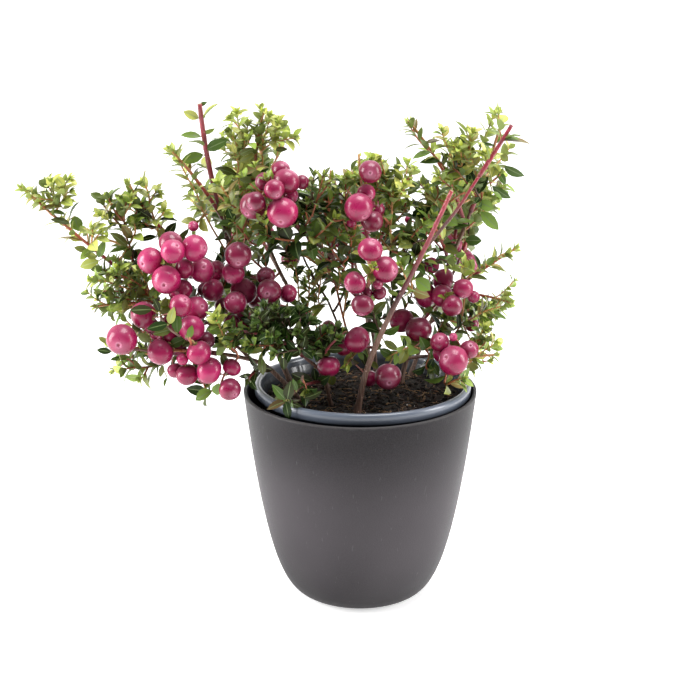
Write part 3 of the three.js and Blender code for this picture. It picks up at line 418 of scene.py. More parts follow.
    ("small", 0.62, 4, 0, 55, 240, 49, 237, 44, 238),
    ("small", 0.8, 8, 4, 65, 234, 61, 245, 59, 254, 59, 260, 61, 266),
    ("small", 0.82, 8, 12, 59, 259, 57, 263, 58, 265),
    ("small", 0.8, 10, 14, 63, 249, 67, 259, 70, 266, 72, 272, 75, 275),
    ("small", 0.92, 6, 0, 71, 236, 69, 245, 67, 251, 65, 254),
    ("small", 0.85, 6, 2, 69, 244, 71, 249, 72, 253),
    ("small", 0.7, 8, 2, 62, 244, 57, 249, 55, 255),
    ("needle", 0.2, 6, 2, 66, 225, 59, 234, 53, 242, 47, 246),
    ("needle", 0.28, 6, 10, 65, 228, 60, 239, 56, 246),
    ("needle", 0.4, 2, -4, 56, 230, 48, 235, 43, 240, 41, 243),
    ("needle", 0.18, 6, 0, 67, 225, 63, 231, 60, 238),
    ("needle", 0.35, -4, -8, 47, 227, 52, 231, 59, 235),
    ("leafy", 0.25, 8, 14, 64, 237, 67, 240, 72, 242),
    ("leafy", 0.4, 6, 8, 71, 235, 75, 239, 77, 242),
    ("needle", 0.3, 8, 16, 61, 254, 57, 257, 54, 258),
    # the sprays on the right
    ("needle", 0.58, 4, 0, 55, 179, 60, 184, 66, 189, 71, 192, 76, 196, 82, 199),
    ("leafy", 0.6, 4, -4, 56, 179, 56, 187, 56, 194),
    ("needle", 0.58, 0, -8, 56, 157, 63, 162, 67, 165, 71, 167, 76, 169, 81, 171),
    ("small", 0.7, -6, -4, 74, 168, 77, 173, 81, 177),
    ("small", 0.5, -4, -10, 63, 146, 66, 153, 68, 160),
    ("small", 0.7, -14, -18, 58, 138, 64, 144, 70, 149, 75, 153),
    ("small", 0.45, -4, -8, 59, 147, 64, 150, 69, 149),
    ("leafy", 0.34, -20, -30, 46, 129, 51, 133, 57, 136),
    ("leafy", 0.4, -4, -20, 43, 146, 36, 145, 28, 148, 22, 147, 14, 144),
    ("leafy", 0.3, -10, -16, 38, 142, 36, 137, 38, 134),
    ("leafy", 0.3, 2, -4, 51, 153, 47, 159, 46, 164),
    # between the sprays, behind the rest
    ("leafy", 0.4, 8, 2, -50, 180, -52, 191, -54, 199),
    ("broad", 0.45, 8, 0, -53, 186, -59, 193, -62, 198),
    ("leafy", 0.25, 8, 4, -38, 189, -41, 198, -43, 203),
    ("leafy", 0.28, 8, 10, -35, 200, -42, 203, -48, 202),
    ("leafy", 0.34, 8, 0, -54, 169, -60, 176, -60, 185),
    ("leafy", 0.2, 0, 2, -115, 171, -121, 182, -127, 192),
    ("leafy", 0.25, -2, -4, -117, 173, -129, 182, -140, 189),
    ("leafy", 0.22, -2, -2, -116, 177, -123, 190, -126, 201),
    ("leafy", 0.2, -16, -18, -110, 147, -120, 149, -130, 148),
    ("leafy", 0.18, -8, -6, -92, 171, -87, 180, -85, 192),
    ("leafy", 0.15, -12, -12, -83, 147, -86, 158, -88, 167),
    ("leafy", 0.18, -24, -26, -83, 126, -86, 134, -89, 143),
    ("leafy", 0.25, 8, 6, -76, 176, -76, 186, -75, 199),
    ("leafy", 0.22, 8, 6, -69, 178, -65, 188, -63, 200),
    ("needle", 0.62, 4, 6, -33, 163, -34, 176, -36, 191),
    ("needle", 0.62, 4, 4, -23, 168, -22, 179, -20, 193),
    ("needle", 0.6, 6, 8, -29, 165, -28, 176, -29, 186),
    ("leafy", 0.35, 14, 12, 11, 195, 15, 206, 18, 220),
    ("leafy", 0.3, 16, 14, 13, 188, 23, 199, 27, 209),
    ("leafy", 0.25, 10, 10, 16, 160, 18, 172, 16, 184),
    ("leafy", 0.28, 8, 8, 21, 158, 27, 168, 30, 177),
    ("leafy", 0.4, 12, 10, 23, 218, 26, 227, 29, 235),
    ("leafy", 0.25, 4, -4, 37, 142, 42, 151, 47, 162),
    ("leafy", 0.28, 0, -6, 48, 145, 53, 154, 58, 161),
    ("leafy", 0.35, 10, 8, -41, 193, -40, 203, -37, 213),
    ("leafy", 0.22, 8, 6, -101, 190, -96, 196, -90, 204),
    ("leafy", 0.2, -4, -4, -90, 170, -96, 179, -101, 189),
    ("leafy", 0.18, -14, -14, -70, 147, -73, 158, -75, 170),
    ("leafy", 0.18, -20, -22, -98, 148, -102, 155, -106, 161),
]

# Single leaves that show: how far back they are, then x and z of each leaf's root and of its tip, its breadth
# as a share of its length, and its tone.
SEEN_LEAVES = [
    (-6, [
        (-161, 225, -174, 224, 0.26, 0.55), (-159, 221, -168, 223, 0.28, 0.45),
        (-157, 216, -167, 219, 0.36, 0.3), (-160, 224, -154, 229, 0.34, 0.5),
        (-157, 218, -152, 229, 0.12, 0.25), (-154, 220, -152, 211, 0.74, 0.5),
        (-151, 206, -164, 208, 0.14, 0.6), (-148, 201, -155, 203, 0.5, 0.48),
        (-143, 197, -149, 199, 0.62, 0.75), (-142, 195, -153, 191, 0.5, 0.6),
        (-142, 197, -138, 207, 0.42, 0.45), (-126, 202, -136, 201, 0.3, 0.5),
        (-126, 203, -135, 212, 0.36, 0.38), (-137, 208, -137, 212, 0.5, 0.8),
        (-146, 202, -152, 196, 0.5, 0.6)]),
    (0, [
        (-113, 217, -121, 223, 0.5, 0.2), (-116, 221, -111, 224, 0.66, 0.75),
        (-114, 215, -119, 219, 0.3, 0.7), (-127, 215, -118, 218, 0.62, 0.62),
        (-123, 212, -117, 213, 0.5, 0.55), (-110, 216, -99, 217, 0.22, 0.18),
        (-111, 224, -104, 226, 0.3, 0.6), (-114, 229, -105, 233, 0.1, 0.7),
        (-110, 212, -120, 212, 0.2, 0.3), (-109, 206, -107, 212, 0.66, 0.65),
        (-106, 207, -100, 215, 0.5, 0.08), (-111, 207, -120, 205, 0.36, 0.22),
        (-99, 206, -93, 211, 0.36, 0.4), (-133, 213, -137, 216, 0.5, 0.3),
        (-125, 200, -123, 194, 0.8, 0.12), (-128, 210, -131, 214, 0.4, 0.3)]),
    (-16, [
        (-129, 172, -138, 171, 0.5, 0.6), (-126, 174, -134, 171, 0.5, 0.75),
        (-129, 168, -133, 161, 0.2, 0.5), (-114, 178, -108, 185, 0.46, 0.48)]),
    (-44, [
        (-106, 178, -109, 186, 0.4, 0.2), (-110, 179, -122, 178, 0.45, 0.18),
        (-102, 171, -113, 169, 0.46, 0.15), (-100, 168, -110, 166, 0.46, 0.3),
        (-101, 171, -98, 181, 0.45, 0.58), (-97, 166, -97, 177, 0.5, 0.32), (-91, 163, -89, 170, 0.52, 0.5),
        (-101, 159, -93, 163, 0.62, 0.35), (-107, 149, -100, 152, 0.36, 0.55),
        (-101, 153, -103, 156, 0.45, 0.55), (-105, 148, -107, 141, 0.42, 0.45),
        (-103, 141, -105, 136, 0.32, 0.5)]),
    (-30, [
        (-135, 156, -141, 159, 0.46, 0.5), (-134, 151, -142, 152, 0.46, 0.2),
        (-128, 147, -135, 147, 0.38, 0.35)]),
    (-42, [
        (-76, 137, -77, 130, 0.86, 0.42), (-71, 146, -74, 154, 0.55, 0.28), (-77, 174, -82, 177, 0.3, 0.82),
        (-77, 174, -74, 182, 0.32, 0.8), (-76, 173, -70, 176, 0.32, 0.7), (-74, 169, -81, 169, 0.38, 0.4),
        (-74, 167, -69, 170, 0.42, 0.5)]),
    (-40, [
        (-53, 151, -52, 141, 0.46, 0.28), (-41, 151, -41, 143, 0.5, 0.18), (-52, 155, -64, 156, 0.4, 0.5)]),
    (-48, [
        (-40, 130, -47, 139, 0.42, 0.24), (-39, 130, -37, 141, 0.52, 0.05), (-40, 129, -50, 125, 0.38, 0.26),
        (-40, 129, -38, 119, 0.46, 0.16), (-39, 129, -31, 125, 0.38, 0.05), (-30, 131, -20, 134, 0.34, 0.05),
        (-34, 135, -36, 142, 0.42, 0.34), (-38, 129, -32, 130, 0.4, 0.14)]),
    (-34, [
        (-16, 140, -15, 132, 0.62, 0.55), (-32, 135, -29, 128, 0.6, 0.16), (-25, 143, -24, 135, 0.5, 0.14)]),
    (6, [
        (-87, 271, -95, 275, 0.55, 0.75), (-86, 271, -83, 272, 0.5, 0.5), (-86, 261, -97, 262, 0.36, 0.42),
        (-85, 263, -78, 265, 0.3, 0.6), (-83, 254, -71, 260, 0.46, 0.33), (-86, 278, -82, 280, 0.5, 0.29),
        (-85, 251, -97, 248, 0.5, 0.39), (-89, 246, -84, 244, 0.25, 0.5), (-87, 244, -91, 239, 0.18, 0.3),
        (-95, 242, -92, 247, 0.5, 0.55), (-67, 240, -79, 244, 0.36, 0.29), (-100, 248, -98, 254, 0.6, 0.55)]),
    (2, [
        (-75, 234, -82, 236, 0.34, 0.5), (-74, 235, -69, 241, 0.42, 0.6), (-66, 240, -49, 247, 0.24, 0.4),
        (-62, 240, -49, 244, 0.26, 0.35), (-65, 252, -57, 256, 0.42, 0.29), (-46, 255, -39, 255, 0.4, 0.35),
        (-69, 255, -72, 258, 0.6, 0.95), (-67, 253, -69, 258, 0.6, 0.95), (-65, 248, -57, 252, 0.4, 0.5),
        (-53, 242, -49, 248, 0.4, 0.35)]),
    (-30, [
        (-34, 240, -26, 235, 0.4, 0.12), (-33, 235, -22, 229, 0.34, 0.12), (-32, 231, -20, 226, 0.34, 0.14),
        (-22, 233, -14, 231, 0.36, 0.2), (-52, 223, -55, 228, 0.5, 0.4), (-51, 221, -47, 228, 0.45, 0.15),
        (-43, 215, -41, 209, 0.4, 0.35)]),
    (6, [
        (-31, 189, -37, 183, 0.5, 0.12), (-18, 184, -25, 184, 0.6, 0.35), (-15, 188, -10, 191, 0.5, 0.25),
        (-33, 196, -24, 197, 0.4, 0.5), (-37, 194, -45, 196, 0.4, 0.3)]),
    (-20, [
        (41, 229, 32, 236, 0.2, 0.75), (34, 224, 32, 232, 0.45, 0.5), (28, 222, 34, 229, 0.6, 0.12),
        (44, 211, 43, 220, 0.36, 0.6), (44, 223, 52, 219, 0.7, 0.42), (50, 224, 50, 232, 0.32, 0.55),
        (38, 206, 32, 211, 0.5, 0.6), (28, 198, 22, 204, 0.3, 0.55), (15, 182, 21, 180, 0.42, 0.75)]),
    (-4, [
        (75, 253, 79, 250, 0.85, 0.5), (77, 247, 88, 241, 0.36, 0.32), (74, 244, 78, 237, 0.5, 0.3),
        (77, 237, 84, 233, 0.2, 0.65), (71, 236, 81, 229, 0.36, 0.36), (71, 233, 77, 228, 0.3, 0.5),
        (64, 227, 72, 224, 0.75, 0.42), (65, 222, 75, 212, 0.46, 0.5), (57, 206, 66, 206, 0.68, 0.42),
        (52, 197, 57, 199, 0.6, 0.6), (46, 204, 53, 204, 0.34, 0.28), (45, 203, 54, 199, 0.5, 0.6),
        (51, 216, 61, 217, 0.3, 0.5), (50, 212, 59, 215, 0.3, 0.28), (76, 261, 91, 260, 0.22, 0.4),
        (63, 258, 72, 259, 0.26, 0.23), (57, 260, 51, 263, 0.4, 0.26), (69, 271, 67, 276, 0.42, 0.9),
        (70, 273, 72, 278, 0.5, 0.8), (77, 262, 85, 262, 0.3, 0.4)]),
    (8, [
        (38, 252, 28, 249, 0.34, 0.4), (43, 247, 32, 247, 0.34, 0.24), (35, 257, 43, 259, 0.3, 0.35),
        (45, 247, 44, 253, 0.2, 0.32), (50, 244, 57, 246, 0.5, 0.24)]),
    (-2, [
        (65, 189, 62, 198, 0.26, 0.25), (69, 192, 73, 196, 0.7, 0.58), (74, 195, 73, 202, 0.14, 0.4),
        (78, 197, 84, 193, 0.14, 0.5), (71, 190, 80, 188, 0.2, 0.45), (61, 185, 70, 183, 0.3, 0.3),
        (56, 186, 57, 193, 0.5, 0.85), (67, 165, 71, 176, 0.1, 0.25), (71, 165, 80, 161, 0.28, 0.45),
        (66, 163, 74, 157, 0.3, 0.72), (65, 161, 65, 169, 0.3, 0.7), (69, 152, 75, 147, 0.26, 0.55),
        (64, 138, 69, 134, 0.32, 0.6), (61, 134, 64, 129, 0.32, 0.5)]),
    (-14, [
        (30, 187, 38, 181, 0.75, 0.6), (36, 191, 42, 186, 0.2, 0.58), (13, 152, 21, 147, 0.45, 0.62),
        (24, 148, 24, 154, 0.4, 0.3), (28, 143, 24, 147, 0.4, 0.5), (40, 142, 37, 134, 0.5, 0.26),
        (-5, 145, -9, 138, 0.4, 0.75), (-1, 146, 2, 141, 0.5, 0.6), (6, 140, 10, 136, 0.6, 0.6),
        (-5, 175, -9, 168, 0.3, 0.3)]),
]

# Where the sky shows through the shrub from the front: ellipses at the depth of the pots' middle, as x and z
# of their centre and their half width and half height.
CLEARINGS = [
    (73, 206, 10.9, 11.2), (70, 178, 7.7, 6.3), (84, 220, 6.5, 12.3), (-21, 255, 20.4, 14.7),
    (3, 260, 8, 6.5), (-110, 246, 6.5, 7.7), (68, 287, 11.7, 7.5), (34, 244, 5.9, 3.3),
    (39, 263, 7.5, 7.1), (72, 259, 2.1, 7.1), (-85, 207, 4.3, 9), (-40, 183, 4.4, 4.6),
    (-19, 161, 5.5, 3.5), (-54, 210, 2.7, 2.2), (-29, 243, 5, 6), (-13, 243, 5.4, 6.5),
    (-8, 237, 4.3, 3.3)]

# Masses whose solid has berries, which the berries stand for.
FRUITING = {"left_low_mass", "left_upper_berries", "left_lower_berries", "middle_left_berries",
            "crown_berries", "crown_right_berries", "centre_berries", "centre_low_berries", "right_berries",
            "right_low_berries", "back_left_mass", "back_mass", "back_right_mass"}

# How old the bark of a limb's tip is, from 0 for grey wood to 1 for young orange wood.
LIMB_TIP_AGES = {"front_stem": 0.74, "tall_stem": 0.56, "front_fork": 0.72}

# Kinds of shoot: leaf length, gap between leaves, breadth of a leaf as a share of its length, leaves in the
# tuft, and the radii of foot and tip.
KINDS = {"small": (7.9, 1.75, 0.58, 6, 0.54, 0.32), "leafy": (10.0, 2.6, 0.58, 5, 0.70, 0.42),
         "broad": (11.4, 3.3, 0.60, 4, 0.80, 0.46), "needle": (9.4, 2.2, 0.35, 6, 0.60, 0.36),
         "bare": (0, 1, 0.4, 0, 0.75, 0.6)}

# Tones, each row from the shade inside the shrub to its lit tips.
BLADE_TONES = {
    "green": [(0.020, 0.042, 0.008), (0.062, 0.114, 0.019), (0.150, 0.236, 0.040), (0.270, 0.378, 0.064),
              (0.405, 0.500, 0.094), (0.530, 0.592, 0.130)],
    "olive": [(0.032, 0.040, 0.011), (0.090, 0.106, 0.023), (0.196, 0.220, 0.046), (0.325, 0.356, 0.071),
              (0.455, 0.482, 0.103), (0.570, 0.575, 0.138)],
    "bronze": [(0.034, 0.025, 0.011), (0.096, 0.064, 0.025), (0.192, 0.136, 0.052), (0.312, 0.236, 0.080),
               (0.440, 0.360, 0.120), (0.550, 0.480, 0.160)]}
BACK_TONES = [(0.110, 0.165, 0.048), (0.210, 0.275, 0.080), (0.350, 0.420, 0.125)]
RIB_TONES = [(0.130, 0.190, 0.060), (0.350, 0.420, 0.160)]
TIP_TONES = [(0.088, 0.142, 0.024), (0.172, 0.238, 0.036), (0.280, 0.355, 0.048), (0.390, 0.468, 0.062),
             (0.500, 0.568, 0.084)]


def dice(seed):
    """A seeded row of numbers from 0 to 1."""
    whole = 2 ** 31 - 1
    state = (seed * 7919) % whole

    def roll():
        nonlocal state
        state = (state * 16807) % whole
        return state / whole

    return roll


class Path:
    """The line of a stem or twig through the air, from 0 at its root to 1 at its tip."""

    def __init__(self, at):
        self.at = at
        self.points = [at(step / 16) for step in range(17)]
        self.length = sum((b - a).length for a, b in zip(self.points, self.points[1:]))
        chord = self.points[-1] - self.points[0]
        self.reference = EAST if abs(chord.x) < abs(chord.y) else NORTH

    def heading(self, share):
        """Which way the path runs at a share of its length."""
        step = 1e-3
        return (self.at(min(share + step, 1)) - self.at(max(share - step, 0))).normalized()

    def directions(self, share):
        """Along the path, across its upper side, and level aside."""
        along = self.heading(share)
        rise = along.cross(self.reference).normalized()
        return along, rise, rise.cross(along)

    def outward(self, share, angle):
        """Away from the path at an angle round it."""
        _, rise, aside = self.directions(share)
        return rise * math.sin(angle) + aside * math.cos(angle)


def bent_path(start, bend, end):
    """A path from start to end that leans towards bend."""
    return Path(lambda t: start * (1 - t) ** 2 + bend * 2 * t * (1 - t) + end * t * t)


def limb_path(points):
    """A smooth path through every point."""
    ends = [2 * points[0] - points[1], *points, 2 * points[-1] - points[-2]]
    spans = len(points) - 1

    def at(share):
        place = share * spans
        i = min(int(place), spans - 1)
        t = place - i
        before, a, b, after = ends[i:i + 4]
        leave, arrive = (b - before) / 2, (after - a) / 2
        swing, settle = 3 * (b - a) - 2 * leave - arrive, 2 * (a - b) + leave + arrive
        return a + leave * t + swing * t ** 2 + settle * t ** 3

    return Path(at)


def leaning(axis, side, angle):
    """A direction that leans from an axis to a side."""
    return (axis * math.cos(angle) + side * math.sin(angle)).normalized()


def out_of_face(face):
    """The angle at which a twig or berry leaves a four-sided stem through one of its faces."""
    return -math.pi / 2 + (face + 0.5) * 2 * math.pi / 4


def soil_height(y):
    """How high the soil stands in its leaning pot."""
    level = NURSERY_LIFT + SOIL_TOP * math.cos(NURSERY_TILT)
    return level - (y - NURSERY_SHIFT[1]) * math.tan(NURSERY_TILT)


def grown_limbs():
    """Every stem and bough with its path."""
    limbs = {}
    for name, row in LIMBS.items():
        if "on" in row:
            start = limbs[row["on"]]["path"].at(row["at"])
        else:
            start = Vector((*row["root"], soil_height(row["root"][1]) + FIT_GAP))
        limbs[name] = dict(row, path=limb_path([start, *map(Vector, row["through"])]))
    return limbs


def limb_radius(limb, share):
    """A limb's radius, which flares where it leaves the soil."""
    base, end = limb["radius"]
    flare = 1 if "on" in limb else 1 + (ROOT_FLARE - 1) * max(0, 1 - share / FLARE_REACH) ** 2
    return (base + (end - base) * share) * flare


def mass_path(row, limbs):
    """The path of a mass's own stem, from its limb to its tip."""
    path = limbs[row["on"]]["path"]
    share = 1 if row["at"] is None else row["at"]
    start, along = path.at(share), path.heading(share)
    reach = (row["tip"] - start).length
    if row["at"] is None:
        heading = along
    else:
        heading = along.lerp((row["tip"] - start).normalized(), 0.7).normalized()
    return bent_path(start, start + heading * 0.45 * reach, row["tip"])


def distances(points, lines):
    """How far each point lies from each line, as an array of points by lines."""
    starts = lines[:, :-1]
    way = lines[:, 1:] - starts
    off = points[:, None, None] - starts
    share = np.clip((off * way).sum(-1) / (way * way).sum(-1), 0, 1)
    return np.linalg.norm(off - share[..., None] * way, axis=-1).min(-1)


class Room:
    """Where foliage may grow: near its own stem, and clear of the limbs, the pots and the berries."""

    def __init__(self, limbs, masses, berries):
        self.limb_lines = np.array([limb["path"].points for limb in limbs.values()])
        self.limb_radii = np.array([limb["radius"][0] for limb in limbs.values()])
        self.mass_lines = np.array([row["path"].points[::2] for row in masses])
        self.girths = np.array([row["girth"] for row in masses])
        self.berries = np.array([(*berry["centre"], berry["radius"]) for berry in berries])
        self.clearings = np.array(CLEARINGS)

    def free(self, points, own, margin):
        """Whether points lie nearer to their own stem than to another's, and in nothing's way."""
        points = np.array(points, float).reshape(-1, 3)
        share = distances(points, self.mass_lines) / self.girths
        near = share[:, own].copy()
        share[:, own] = np.inf
        own_room = (near < LEAF_ROOM) & (share.min(1) > near - margin)
        return own_room & self.clear(points) & self.off_clearings(points)

    def off_clearings(self, points):
        """Whether points leave the sky free where it shows through from the front."""
        lens = np.array(LENS)
        seen = lens + (points - lens) * (lens[1] / (lens[1] - points[:, 1]))[:, None]
        apart = (seen[:, None, ::2] - self.clearings[:, :2]) / self.clearings[:, 2:]
        return (np.linalg.norm(apart, axis=-1) > 1).all(1)

    def clear(self, points):
        """Whether points lie off the limbs, the pots and the berries."""
        points = np.array(points, float).reshape(-1, 3)
        clear = (distances(points, self.limb_lines) > self.limb_radii + LIMB_CLEARANCE).all(1)
        out = np.hypot(points[:, 0], points[:, 1])
        level = NURSERY_LIFT + SOIL_TOP - (points[:, 1] - NURSERY_SHIFT[1]) * math.tan(NURSERY_TILT)
        above = points[:, 2] > NURSERY_LIFT + NURSERY_HEIGHT + RIM_CLEARANCE
        over_soil = (out < NURSERY_LIP_INSIDE - RIM_CLEARANCE) & (points[:, 2] > level + 1)
        potted = above | over_soil | (out > RIM_RADIUS + RIM_CLEARANCE)
        return clear & potted & self.off_berries(points)

    def off_berries(self, points):
        """Whether points lie outside every berry."""
        apart = np.linalg.norm(points[:, None] - self.berries[:, :3], axis=-1)
        return (apart > self.berries[:, 3] + BERRY_CLEARANCE).all(1)


def twig_path(start, heading, length, lift):
    """A twig that turns upwards to its tip."""
    tip = start + heading * 0.9 * length + UP * lift * length
    return bent_path(start, start + heading * 0.5 * length, tip)


def shoot(path, base, end, order, index, tone, leaf, begin, gap, tuft, slim=0.5):
    """A leafy shoot: its radii, its order (0 for a mass's stem, 1 for a twig, 2 for a sprig), its mass, its
    tone, and its leaves, which begin at a share of its length, stand a gap apart and end in a tuft."""
    return dict(path=path, base=base, end=end, order=order, mass=index, tone=tone, leaf=leaf, begin=begin,
                gap=gap, tuft=tuft, slim=slim)


def side_twigs(row, index, room, roll, count, shorter, turn):
    """Side twigs, spaced evenly along a mass's stem, shortened, moved or turned until they fit their room."""
    twigs = []
    for i in range(count):
        lowest = 0.1 + 0.6 * (i + 0.5) / count
        face = math.floor(roll() * 4) + turn
        splay = 0.75 + 0.35 * roll()
        reach = row["girth"] * (1.5 - 0.7 * lowest) * (0.9 + 0.25 * roll()) * shorter
        for trial in range(TWIG_TRIALS):
            share = lowest + 0.01 * trial
            length = max(reach * 0.9 ** trial, SHORTEST_TWIG)
            out = row["path"].outward(share, out_of_face(face + 2 * i + trial))
            heading = leaning(row["path"].heading(share), out, splay)
            path = twig_path(row["path"].at(share), heading, length, 0.2)
            if row["seen"] and heading.y < TWIG_FORWARD:
                continue
            if room.free(path.points[5:], index, TWIG_MARGIN).all():
                twigs.append((path, share))
                break
    return twigs


def grown_shoots(row, index, room):
    """The stem, side twigs, finer twigs and sprigs of one mass."""
    roll = dice(row["seed"])
    thick, tone, leaf, gap = row["thick"], row["tone"], row["leaf"], row["gap"]
    end = thick * CUT_STEM_TAPER if row["bare"] else STEM_TIP_RADIUS
    stem_gap, tuft = (CUT_STEM_LEAF_GAP, 0) if row["bare"] else (gap + 0.4, 6)
    shoots = [shoot(row["path"], thick, end, 0, index, tone, leaf * 1.1, 0.12, stem_gap, tuft)]
    twigs = side_twigs(row, index, room, roll, row["twigs"], 1, 0)
    twigs += side_twigs(row, index, room, roll, round((row["twigs"] + 3) * row["full"]), 0.75, 0.5)
    for path, share in twigs:
        own = tone + 0.18 * (share - 0.4) + 0.22 * (roll() - 0.5)
        shoots.append(shoot(path, TWIG_RADIUS, TWIG_TIP_RADIUS, 1, index, own, leaf * 1.15, 0.1, gap * 0.8, 5,
                            GROWN_SLIM))
    for parent in list(shoots):
        path, order = parent["path"], parent["order"]
        count = round(path.length * (0.25 + 0.75 * row["full"]) / (12 if order else 10))
        for i in range(count):
            share = 0.3 + 0.62 * (i + 0.2 + 0.6 * roll()) / count
            out = path.outward(share, i * GOLDEN_TURN + 6 * roll())
            out = (out + UP * 0.35).normalized()
            heading = leaning(path.heading(share), out, 0.6 + 0.35 * roll())
            length = (17 if order == 0 else 13) * (1.15 - 0.5 * share) * (0.75 + 0.5 * roll())
            sprig = twig_path(path.at(share), heading, length, 0.28)
            if row["seen"] and heading.y < SPRIG_FORWARD:
                continue
            if room.free(sprig.points[6:], index, SPRIG_MARGIN).all():
                own = parent["tone"] + 0.1 + 0.2 * (roll() - 0.5)
                shoots.append(shoot(sprig, SPRIG_RADIUS, SPRIG_TIP_RADIUS, 2, index, own, leaf * 0.95, 0.12,
                                    gap * 0.62, 6, GROWN_SLIM))
    return shoots


def nearest(wood, place):
    """The point of wood that is nearest to a place."""
    return min(wood, key=lambda point: (point - place).length_squared)


def seen_shoots(limbs, masses):
    """The shoots that show one by one, each from the nearest wood to where it starts."""
    wood = [row["path"].at(step / 40) for row in (*limbs.values(), *masses) for step in range(41)]
    shoots = []
    for kind, tone, first, last, *places in SEEN_SHOOTS:
        leaf, gap, slim, tuft, base, end = KINDS[kind]
        depths = np.linspace(first, last, len(places) // 2)
        points = [Vector((x, depth, z)) for x, depth, z in zip(places[::2], depths, places[1::2])]
        foot = nearest(wood, points[0])
        if (foot - points[0]).length < ON_WOOD:
            points[0] = foot
        else:
            points.insert(0, foot)
        if tuft:
            points[-1] = points[-1] + (points[-2] - points[-1]).normalized() * TUFT_REACH
        path = limb_path(points)
        wood += [path.at(step / 20) for step in range(3, 21)]
        shoots.append(shoot(path, base, end, 1, -1, tone, leaf, 0.16, gap, tuft, slim))
    return shoots


def drawn_to_wood(root, wood):
    """A leaf's root, moved along the line of sight to the wood if it would hang far off it, and that wood."""
    sight = (LENS - root).normalized()
    places = [root + sight * step for step in SIGHT_STEPS]
    gaps = [np.linalg.norm(wood - np.array(place), axis=1) for place in places]
    nearest_gaps = [gap.min() for gap in gaps]
    chosen = 0 if nearest_gaps[0] < LONGEST_STALK else int(np.argmin(nearest_gaps))
    return places[chosen], Vector(wood[gaps[chosen].argmin()])


def seen_leaves(shoots):
    """The single leaves that show, turned about their length until they look as broad as they do, and the
    stalk that joins each to the nearest wood."""
    wood = np.array([point for grown in shoots for point in grown["path"].points])
    towards = Vector((0, -math.cos(VIEW_TILT), math.sin(VIEW_TILT)))
    leaves, stalks = [], []
    roll = dice(606)
    for depth, rows in SEEN_LEAVES:
        for x, z, end_x, end_z, breadth, tone in rows:
            root, foot = drawn_to_wood(Vector((x, depth, z)), wood)
            way = Vector((end_x - x, 0, end_z - z))
            length = way.length
            heading = (way.normalized() + NORTH * 0.5 * (roll() - 0.6)).normalized()
            beside = heading.cross(towards).normalized()
            face = beside.cross(heading)
            if face.z < UNDERSIDE_SHOWS:
                beside, face = -beside, -face
            slim = max(breadth, SINGLE_SLIM)
            turn = math.acos(breadth / slim)
            normal = face * math.cos(turn) + beside * math.sin(turn)
            if normal.z < UNDERSIDE_SHOWS:
                normal = face * math.cos(turn) - beside * math.sin(turn)
            leaves.append(dict(root=root, heading=heading, normal=normal, length=length, young=False,
                               slim=slim, fold=0.12 + 0.2 * roll(), curl=0.02 + 0.1 * roll(), tone=tone,
                               single=True))
            if (foot - root).length > LEAF_STALK:
                stalks.append((foot, root))
    return leaves, stalks


def shoot_leaves(grown, roll):
    """Leaves in a spiral up a shoot, steeper and smaller towards its tip, where a tuft of little ones is."""
    leaves = []
    path = grown["path"]
    span = path.length * (1 - grown["begin"])
    tuft = grown["tuft"]
    count = max(2, round(span / grown["gap"])) if grown["leaf"] else 0
    turn = FULL_TURN * roll()
    light = min(1, max(grown["tone"], 0) / 0.4)
    freshness, spread = 0.16 * light, 0.22 + 0.2 * light
    for i in range(count + tuft):
        young = i >= count
        if young:
            step = (i - count + 1) / tuft
            share = 1 - 0.05 * (1 - step)
            length = min(grown["leaf"] * 0.6, TUFT_LEAF) * (1.1 - 0.5 * step)
            lean = 0.8 - 0.65 * step
        else:
            share = grown["begin"] + (1 - grown["begin"]) * (i + 0.5) / count
            length = grown["leaf"] * (0.85 + 0.3 * roll()) * (1.06 - 0.34 * share ** 3)
            lean = 1.12 - 0.3 * share
        along = path.heading(share)
        out = path.outward(share, turn + i * GOLDEN_TURN + 0.4 * (roll() - 0.5))
        heading = leaning(along, out, lean + 0.2 * (roll() - 0.5))
        heading = (heading + UP * 0.12 * (1 - 2 * roll())).normalized()
        place = path.at(share)
        outward = (place - HEART).normalized()
        face = along * 0.55 + UP * 0.4 * roll() + outward * (0.5 + 0.6 * roll())
        normal = (face - heading * face.dot(heading)).normalized()
        radius = grown["base"] + (grown["end"] - grown["base"]) * share
        root = place + out * radius * 0.7
        leaves.append(dict(root=root, heading=heading, normal=normal, length=length, young=young,
                           slim=grown["slim"] * (0.9 + 0.25 * roll()), fold=0.12 + 0.3 * roll(),
                           curl=0.02 + 0.16 * roll(),
                           tone=grown["tone"] + (freshness if young else 0) + spread * (roll() - 0.5),
                           mass=grown["mass"], single=False))
    return leaves


def settled_berries(row):
    """Berries round a stem on short stalks, which settle until they no longer press into each other."""
    roll = dice(row["seed"] + 500)
    berries = []
    first, last = row["fruit"]
    for i in range(row["berries"]):
        share = first + (last - first) * (i + 0.5) / row["berries"]
        size = roll()
        radius = BERRY_RADIUS * (0.55 if size < 0.15 else 0.7 + 0.4 * size)
        out = row["path"].outward(share, out_of_face(i + (i % 3) / 3 + roll() / 4))
        foot = row["path"].at(share)
        centre = foot + out * (radius + BERRY_STALK) - UP * 0.2 * radius
        berries.append(dict(foot=foot, centre=centre, radius=radius, ripe=BACK_RIPENESS))
    for _ in range(SETTLE_ROUNDS):
        for a in berries:
            for b in berries:
                apart = a["centre"] - b["centre"]
                overlap = a["radius"] + b["radius"] + BERRY_GAP - apart.length
                if a is not b and overlap > 0:
                    a["centre"] = a["centre"] + apart.normalized() * 0.5 * overlap
            away = a["centre"] - a["foot"]
            slack = a["radius"] + BERRY_STALK - away.length
            a["centre"] = a["centre"] + away.normalized() * slack * (0.5 if slack > 0 else 0.06)
    return berries


